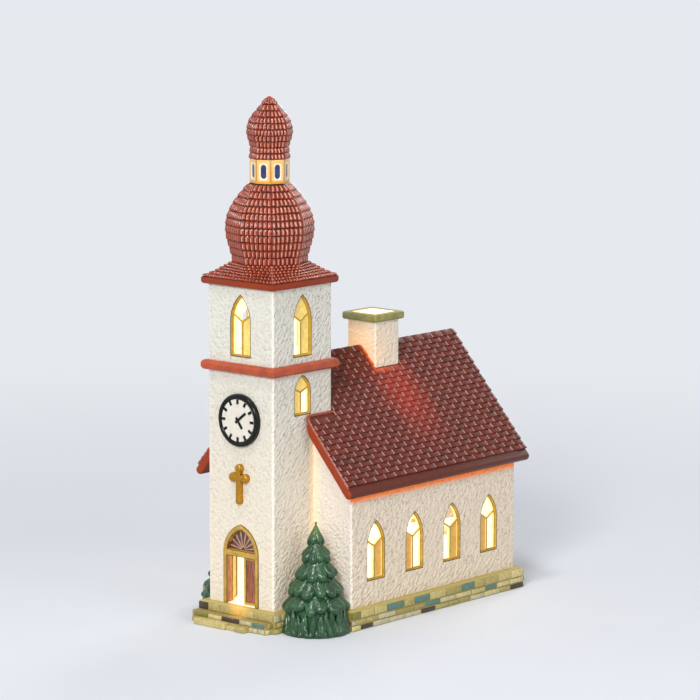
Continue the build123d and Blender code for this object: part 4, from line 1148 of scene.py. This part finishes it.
# Cobalt glaze: dark blue and mirror-like in the sunk slots, like window panes at night.
slot_blue = glaze("cobalt_slot_glaze_fired", ("#101d4c", "#1f3a78"), 1.6 * MM, 0.12, 0.4)
dress(["lantern_windows"], slot_blue)

# Fir trees: one on each side of the tower, moulded solid, with five drooping tiers over a clump of grass.
# Deep green glossy glaze, thin and yellowish on the tip.
# The left one is smaller, with its boughs spread wider to fill its corner.

# Thick fir glaze: the needles' ridges break it to a lighter green, with small bright highlights.
fir_glaze, shader, place, add = new_material("fir_green_glaze_thick")
needle_width = 0.9 * MM
tree_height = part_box("tree_right")[1].z
island = add("NewGeometry", {})
hanging = add("Mapping", {"Vector": place, "Scale": (1, 1, 0.35)})
needles = add("TexNoise", {"Vector": hanging, "Scale": 1 / needle_width, "Detail": 2.0})
axes = add("SeparateXYZ", {0: place})
on_tip = add("MapRange", {"Value": axes.outputs["Z"], "From Min": tree_height - 9 * MM,
                          "From Max": tree_height - 1 * MM, "To Max": 0.45})
mixed = add("Math", {0: island.outputs["Random Per Island"], 1: 0.3, 2: needles}, operation="MULTIPLY_ADD")
thin = add("MapRange", {"Value": mixed, "From Min": 0.42, "From Max": 0.95})
green = add("Mix", {0: thin, 6: "#0f3319", 7: "#2d5e34"}, data_type="RGBA")
tipped = add("Mix", {0: on_tip, 6: green, 7: "#7d9a3c"}, data_type="RGBA")
relief = add("Bump", {"Height": needles, "Strength": 0.7, "Distance": 0.45 * MM})
set_inputs(shader, {"Base Color": tipped, "Roughness": 0.2, "IOR": 1.52, "Coat Weight": 0.15,
                    "Coat Roughness": 0.06, "Normal": relief})

tree_radius = 16.2 * MM
tree_stand = 12.3 * MM
left_tree_share = 0.64
left_bough_spread = 1.34
left_bough_reach = 1.17
left_grass_spread = 1.17
left_grass_reach = 1.09
tree_core = [(0.0, 0.985), (0.12, 0.85), (0.27, 0.70), (0.42, 0.555), (0.58, 0.41), (0.74, 0.24),
             (0.80, 0.1), (0.86, 0.0)]
tree_tiers = [(0.05, 1.0, 0.28, 0.80, 6), (0.12, 0.85, 0.49, 0.655, 8), (0.27, 0.70, 0.66, 0.495, 10),
              (0.42, 0.555, 0.85, 0.34, 12), (0.58, 0.41, 0.99, 0.20, 14)]
grass_rings = [(0.88, 26, 0.20, 0.29), (0.92, 34, 0.12, 0.22), (0.95, 38, 0.06, 0.13)]
grass_foot = 0.002
grass_lean = 0.05
blade_sunk = 0.3 * MM
blade_thickness = 1.2 * MM
bough_stations = [(0.0, 0.05, 0.0), (0.02, 0.2, 0.45), (0.07, 0.42, 0.78), (0.15, 0.68, 0.97),
                  (0.27, 0.9, 0.98), (0.42, 1.0, 0.8), (0.65, 0.88, 0.5), (0.88, 0.62, 0.25),
                  (1.0, 0.5, 0.0)]
bough = pillow(10, bough_stations, 0.9)
blade_stations = [(0.0, 0.85, 0.0), (0.02, 0.9, 0.5), (0.12, 1.0, 0.9), (0.4, 0.95, 1.0), (0.7, 0.62, 0.8),
                  (0.9, 0.3, 0.5), (0.99, 0.08, 0.2), (1.0, 0.05, 0.0)]
blade = pillow(6, blade_stations, 0.9)
round_steps = 96
tuck = 0.1 * MM
for tree_name, side, share in (("tree_right", 1, 1.0), ("tree_left", -1, left_tree_share)):
    radius = tree_radius * share
    height = tree_height * share
    stand = tree_stand * share
    trunk = Vector((side * (tower_half + stand), nave_low.y - stand, 0))

    def on_tree(radius_share, turn, level_share, out=0.0):
        """Point of the tree, pressed flat against the walls of the corner that it stands in."""
        reach = radius * radius_share + out
        point = trunk + Vector((reach * cos(turn), reach * sin(turn), height * level_share))
        point.x = side * max(side * point.x, tower_half - tuck)
        point.y = min(point.y, nave_low.y + tuck)
        return point

    fir = ([], [])
    for radius_share, level_share in tree_core:
        for step in range(round_steps):
            fir[0].append(on_tree(radius_share, 2 * pi * step / round_steps, level_share))
    join_rings(fir, 0, len(tree_core), round_steps)
    fir[1].append([(len(tree_core) - 1) * round_steps + step for step in reversed(range(round_steps))])
    for top_radius, top_level, edge_radius, edge_level, boughs in tree_tiers:
        phase = random.uniform(0, 2 * pi)
        if side < 0:
            edge_radius = min(edge_radius * left_bough_spread, left_bough_reach)
        thickness = (1.5 + 2.0 * edge_radius) * MM * share
        for number in range(boughs):
            turn = phase + 2 * pi * (number + random.uniform(-0.16, 0.16)) / boughs
            swing = pi / boughs * random.uniform(1.2, 1.6)
            drop = edge_level - random.uniform(-0.012, 0.03)
            edge = edge_radius * random.uniform(0.94, 1.0)
            out = -0.55 * thickness
            sunk = -0.5 * thickness
            left = turn - swing
            right = turn + swing
            patch = [on_tree(edge, left, drop, out), on_tree(edge, right, drop, out),
                     on_tree(top_radius, right, top_level), on_tree(top_radius, left, top_level)]
            if (patch[1] - patch[0]).length > 0.5 * radius * edge * swing:
                lay_block(fir, bough, patch, (0, 0, sunk, sunk), thickness)
    for ring_share, blades, low_height, high_height in grass_rings:
        if side < 0:
            ring_share = min(ring_share * left_grass_spread, left_grass_reach)
        tip_share = ring_share - grass_lean
        for number in range(blades):
            turn = 2 * pi * (number + random.uniform(-0.3, 0.3)) / blades
            tip_turn = turn + random.uniform(-0.12, 0.12)
            swing = pi / blades * random.uniform(1.1, 1.6)
            level = random.uniform(low_height, high_height)
            patch = [on_tree(ring_share, turn - swing, grass_foot),
                     on_tree(ring_share, turn + swing, grass_foot),
                     on_tree(tip_share, tip_turn + swing, level),
                     on_tree(tip_share, tip_turn - swing, level)]
            if (patch[1] - patch[0]).length > radius * ring_share * swing:
                lay_block(fir, blade, patch, [-blade_sunk * share] * 4, blade_thickness * share)
    tree = new_piece(tree_name + "_boughs", fir, [fir_glaze])
    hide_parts(tree_name)

# Lamp holder: a moulded housing that clips into the round hole of the rear gable, with its brass socket.
# White nylon, matt from the mould; spring steel clips and pressed brass, which catch the light.

# Moulded nylon: a soft off-white, bright on the side of the bulb.
holder_nylon = glaze("white_nylon_moulded", ("#e9e5da", "#dcd7c9"), 1.2 * MM, 0.5, 0.0)
shader, place, add = work_on(holder_nylon)
axes = add("SeparateXYZ", {0: place})
near_bulb = add("Math", {0: axes.outputs["Y"], 1: nave_high.y + room_skin}, operation="LESS_THAN")
holder_shine = add("Math", {0: near_bulb, 1: room_light}, operation="MULTIPLY")
set_inputs(shader, {"Emission Color": lamp_light, "Emission Strength": holder_shine})
for node_name in ("lamp_housing", "cord_gland"):
    softened(node_name, 0.35 * MM, [holder_nylon])


def drawn_metal(name, tones, roughness):
    """Bare drawn metal: die lines, drawn coarser than real ones so that they show, and uneven gloss."""
    line_width = 0.35 * MM
    material, shader, place, add = new_material(name)
    drawn = add("Mapping", {"Vector": place, "Scale": (1, 0.1, 1)})
    lines = add("TexNoise", {"Vector": drawn, "Scale": 1 / line_width, "Detail": 2.0})
    tone = add("Mix", {0: lines, 6: tones[0], 7: tones[1]}, data_type="RGBA")
    dull = add("MapRange", {"Value": lines, "To Min": roughness * 0.7, "To Max": roughness * 1.4})
    relief = add("Bump", {"Height": lines, "Strength": 0.3, "Distance": 0.05 * MM})
    set_inputs(shader, {"Base Color": tone, "Metallic": 1.0, "Roughness": dull, "Normal": relief})
    return material


# Rolled spring steel: cool grey with a streaky shine.
spring_steel = drawn_metal("spring_steel_rolled", ("#b4b6b8", "#96999c"), 0.28)
softened("lamp_spring_clips", 0.12 * MM, [spring_steel])
# Pressed brass: warm yellow and brighter than the steel.
pressed_brass = drawn_metal("brass_pressed", ("#d2ac5c", "#b68f42"), 0.25)
dress(["lamp_screw_shell", "lamp_centre_contact", "bulb_cap"], pressed_brass)

# Bulb: a small pear-shaped lamp that screws into the holder, with its contact, cap, stem and filament.
# Clear blown glass over a glowing filament on a glass stem, with a solder tip on the brass cap.

# Cast solder: dull grey with a broken shine.
solder = drawn_metal("tin_solder_cast", ("#a9abaa", "#8c8f90"), 0.4)
dress(["bulb_contact"], solder)
# Blown glass: clear, with faint ripples that bend what is behind, and a warm haze from the filament.
blown_glass, shader, place, add = new_material("clear_glass_blown")
ripple_size = 7 * MM
ripples = add("TexNoise", {"Vector": place, "Scale": 1 / ripple_size})
relief = add("Bump", {"Height": ripples, "Strength": 0.08, "Distance": 0.3 * MM})
set_inputs(shader, {"Base Color": "#fdfbf4", "Roughness": 0.02, "IOR": 1.5, "Transmission Weight": 1.0,
                    "Normal": relief, "Emission Color": lamp_light, "Emission Strength": 0.4})
dress(["bulb_glass", "bulb_stem"], blown_glass)
# Glowing tungsten: hotter and cooler stretches of the coil show as bands along the wire.
# At scale 1 the wave runs through 20 radians in a unit of length.
hot_tungsten, shader, place, add = new_material("tungsten_filament_glowing")
heat_band = pi * MM
wave_radians = 20
coils = add("TexWave", {"Vector": place, "Scale": 2 * pi / heat_band / wave_radians})
heat = add("MapRange", {"Value": coils.outputs["Fac"], "To Min": 2.0, "To Max": 5.0})
set_inputs(shader, {"Base Color": "#6b5a48", "Metallic": 1.0, "Roughness": 0.5, "Emission Color": "#ffc37a",
                    "Emission Strength": heat})
dress(["bulb_filament"], hot_tungsten)

# Studio: a pale paper floor, and soft light from the front, the right, the left, above and behind.
# The camera stands where the photograph was taken.
def seen_directly(owner):
    """One for what the camera, a reflection or a view through glass meets, nought for light that falls."""
    ray = add_node(owner, "LightPath", {})
    seen = add_node(owner, "Math", {0: ray.outputs["Is Camera Ray"], 1: ray.outputs["Is Glossy Ray"]},
                    operation="MAXIMUM")
    return add_node(owner, "Math", {0: seen, 1: ray.outputs["Is Transmission Ray"]}, operation="MAXIMUM")


# Matt paper: a cool white with hardly visible clouds, which fades into an even backdrop farther off.
paper_floor, shader, place, add = new_material("pale_paper_floor_matt")
backdrop_colour = "#e6e9ee"
paper_cloud = 90 * MM
even_near = 0.15
even_far = 0.75
clouds = add("TexNoise", {"Vector": place, "Scale": 1 / paper_cloud})
tone = add("Mix", {0: clouds, 6: "#e4e8ee", 7: "#dfe3ea"}, data_type="RGBA")
set_inputs(shader, {"Base Color": tone, "Roughness": 0.85})
from_church = add("VectorMath", {0: place}, operation="LENGTH")
away = add("MapRange", {"Value": from_church, "From Min": even_near, "From Max": even_far},
           interpolation_type="SMOOTHSTEP")
evened = add("Math", {0: seen_directly(paper_floor), 1: away}, operation="MULTIPLY")
backdrop = add("Emission", {"Color": backdrop_colour, "Strength": 1.0})
blended = add("MixShader", {0: evened, 1: shader, 2: backdrop})
set_inputs(paper_floor.node_tree.nodes["Material Output"], {"Surface": blended})
floor_half = 8.0
floor_corners = [(-floor_half, -floor_half, 0), (floor_half, -floor_half, 0), (floor_half, floor_half, 0),
                 (-floor_half, floor_half, 0)]
floor_mesh = bpy.data.meshes.new("studio_floor")
floor_mesh.from_pydata(floor_corners, [], [(0, 1, 2, 3)])
floor_mesh.materials.append(paper_floor)
studio_floor = bpy.data.objects.new("studio_floor", floor_mesh)
bpy.context.scene.collection.objects.link(studio_floor)


def soft_light(name, place, width, power):
    """A square soft box that faces the church."""
    church_middle = Vector((0, 0, 0.1))
    lamp = bpy.data.lights.new(name, "AREA")
    lamp.size = width
    lamp.energy = power
    box = bpy.data.objects.new(name, lamp)
    box.location = place
    box.rotation_euler = (church_middle - Vector(place)).to_track_quat("-Z", "Y").to_euler()
    bpy.context.scene.collection.objects.link(box)


soft_light("front_light", (0.8, -1.6, 0.95), 0.5, 22.5)
soft_light("right_light", (1.9, -0.1, 0.7), 0.7, 6.0)
soft_light("top_light", (0.2, -0.7, 1.7), 0.3, 9.0)
soft_light("rear_light", (-0.6, 2.2, 0.8), 0.8, 16.0)
soft_light("left_light", (-1.5, -1.0, 0.7), 0.8, 2.2)

# Light of the bulb: a small warm lamp in the nave, which shines out through the pierced windows.
bulb_shine = bpy.data.lights.new("bulb_shine", "POINT")
bulb_shine.energy = 0.06
bulb_shine.color = linear("#ffdfa8")[:3]
bulb_shine.shadow_soft_size = 5 * MM
bulb_spot = bpy.data.objects.new("bulb_shine", bulb_shine)
bulb_spot.location = (0, 8 * MM, 42 * MM)
bpy.context.scene.collection.objects.link(bulb_spot)

# Air: a weak even light from all round, which looks as pale as the backdrop where it is seen itself.
world = bpy.data.worlds.new("studio_air")
world.use_nodes = True
air = world.node_tree.nodes["Background"]
set_inputs(air, {"Color": "#f0f1f3", "Strength": 0.36})
pale_air = add_node(world, "Background", {"Color": backdrop_colour, "Strength": 1.0})
blended = add_node(world, "MixShader", {0: seen_directly(world), 1: air, 2: pale_air})
set_inputs(world.node_tree.nodes["World Output"], {"Surface": blended})
bpy.context.scene.world = world
bpy.context.scene.view_settings.view_transform = "Standard"

lens = bpy.data.cameras.new("photo_camera")
lens.lens = 181.23
lens.sensor_width = 36.0
lens.shift_x = 0.0517
lens.shift_y = 0.0346
camera = bpy.data.objects.new("photo_camera", lens)
camera.location = (1.0605, -1.2215, 0.3738)
camera_aim = Vector((0, -0.0212, 0.110))
camera.rotation_euler = (camera_aim - camera.location).to_track_quat("-Z", "Y").to_euler()
bpy.context.scene.collection.objects.link(camera)
bpy.context.scene.camera = camera
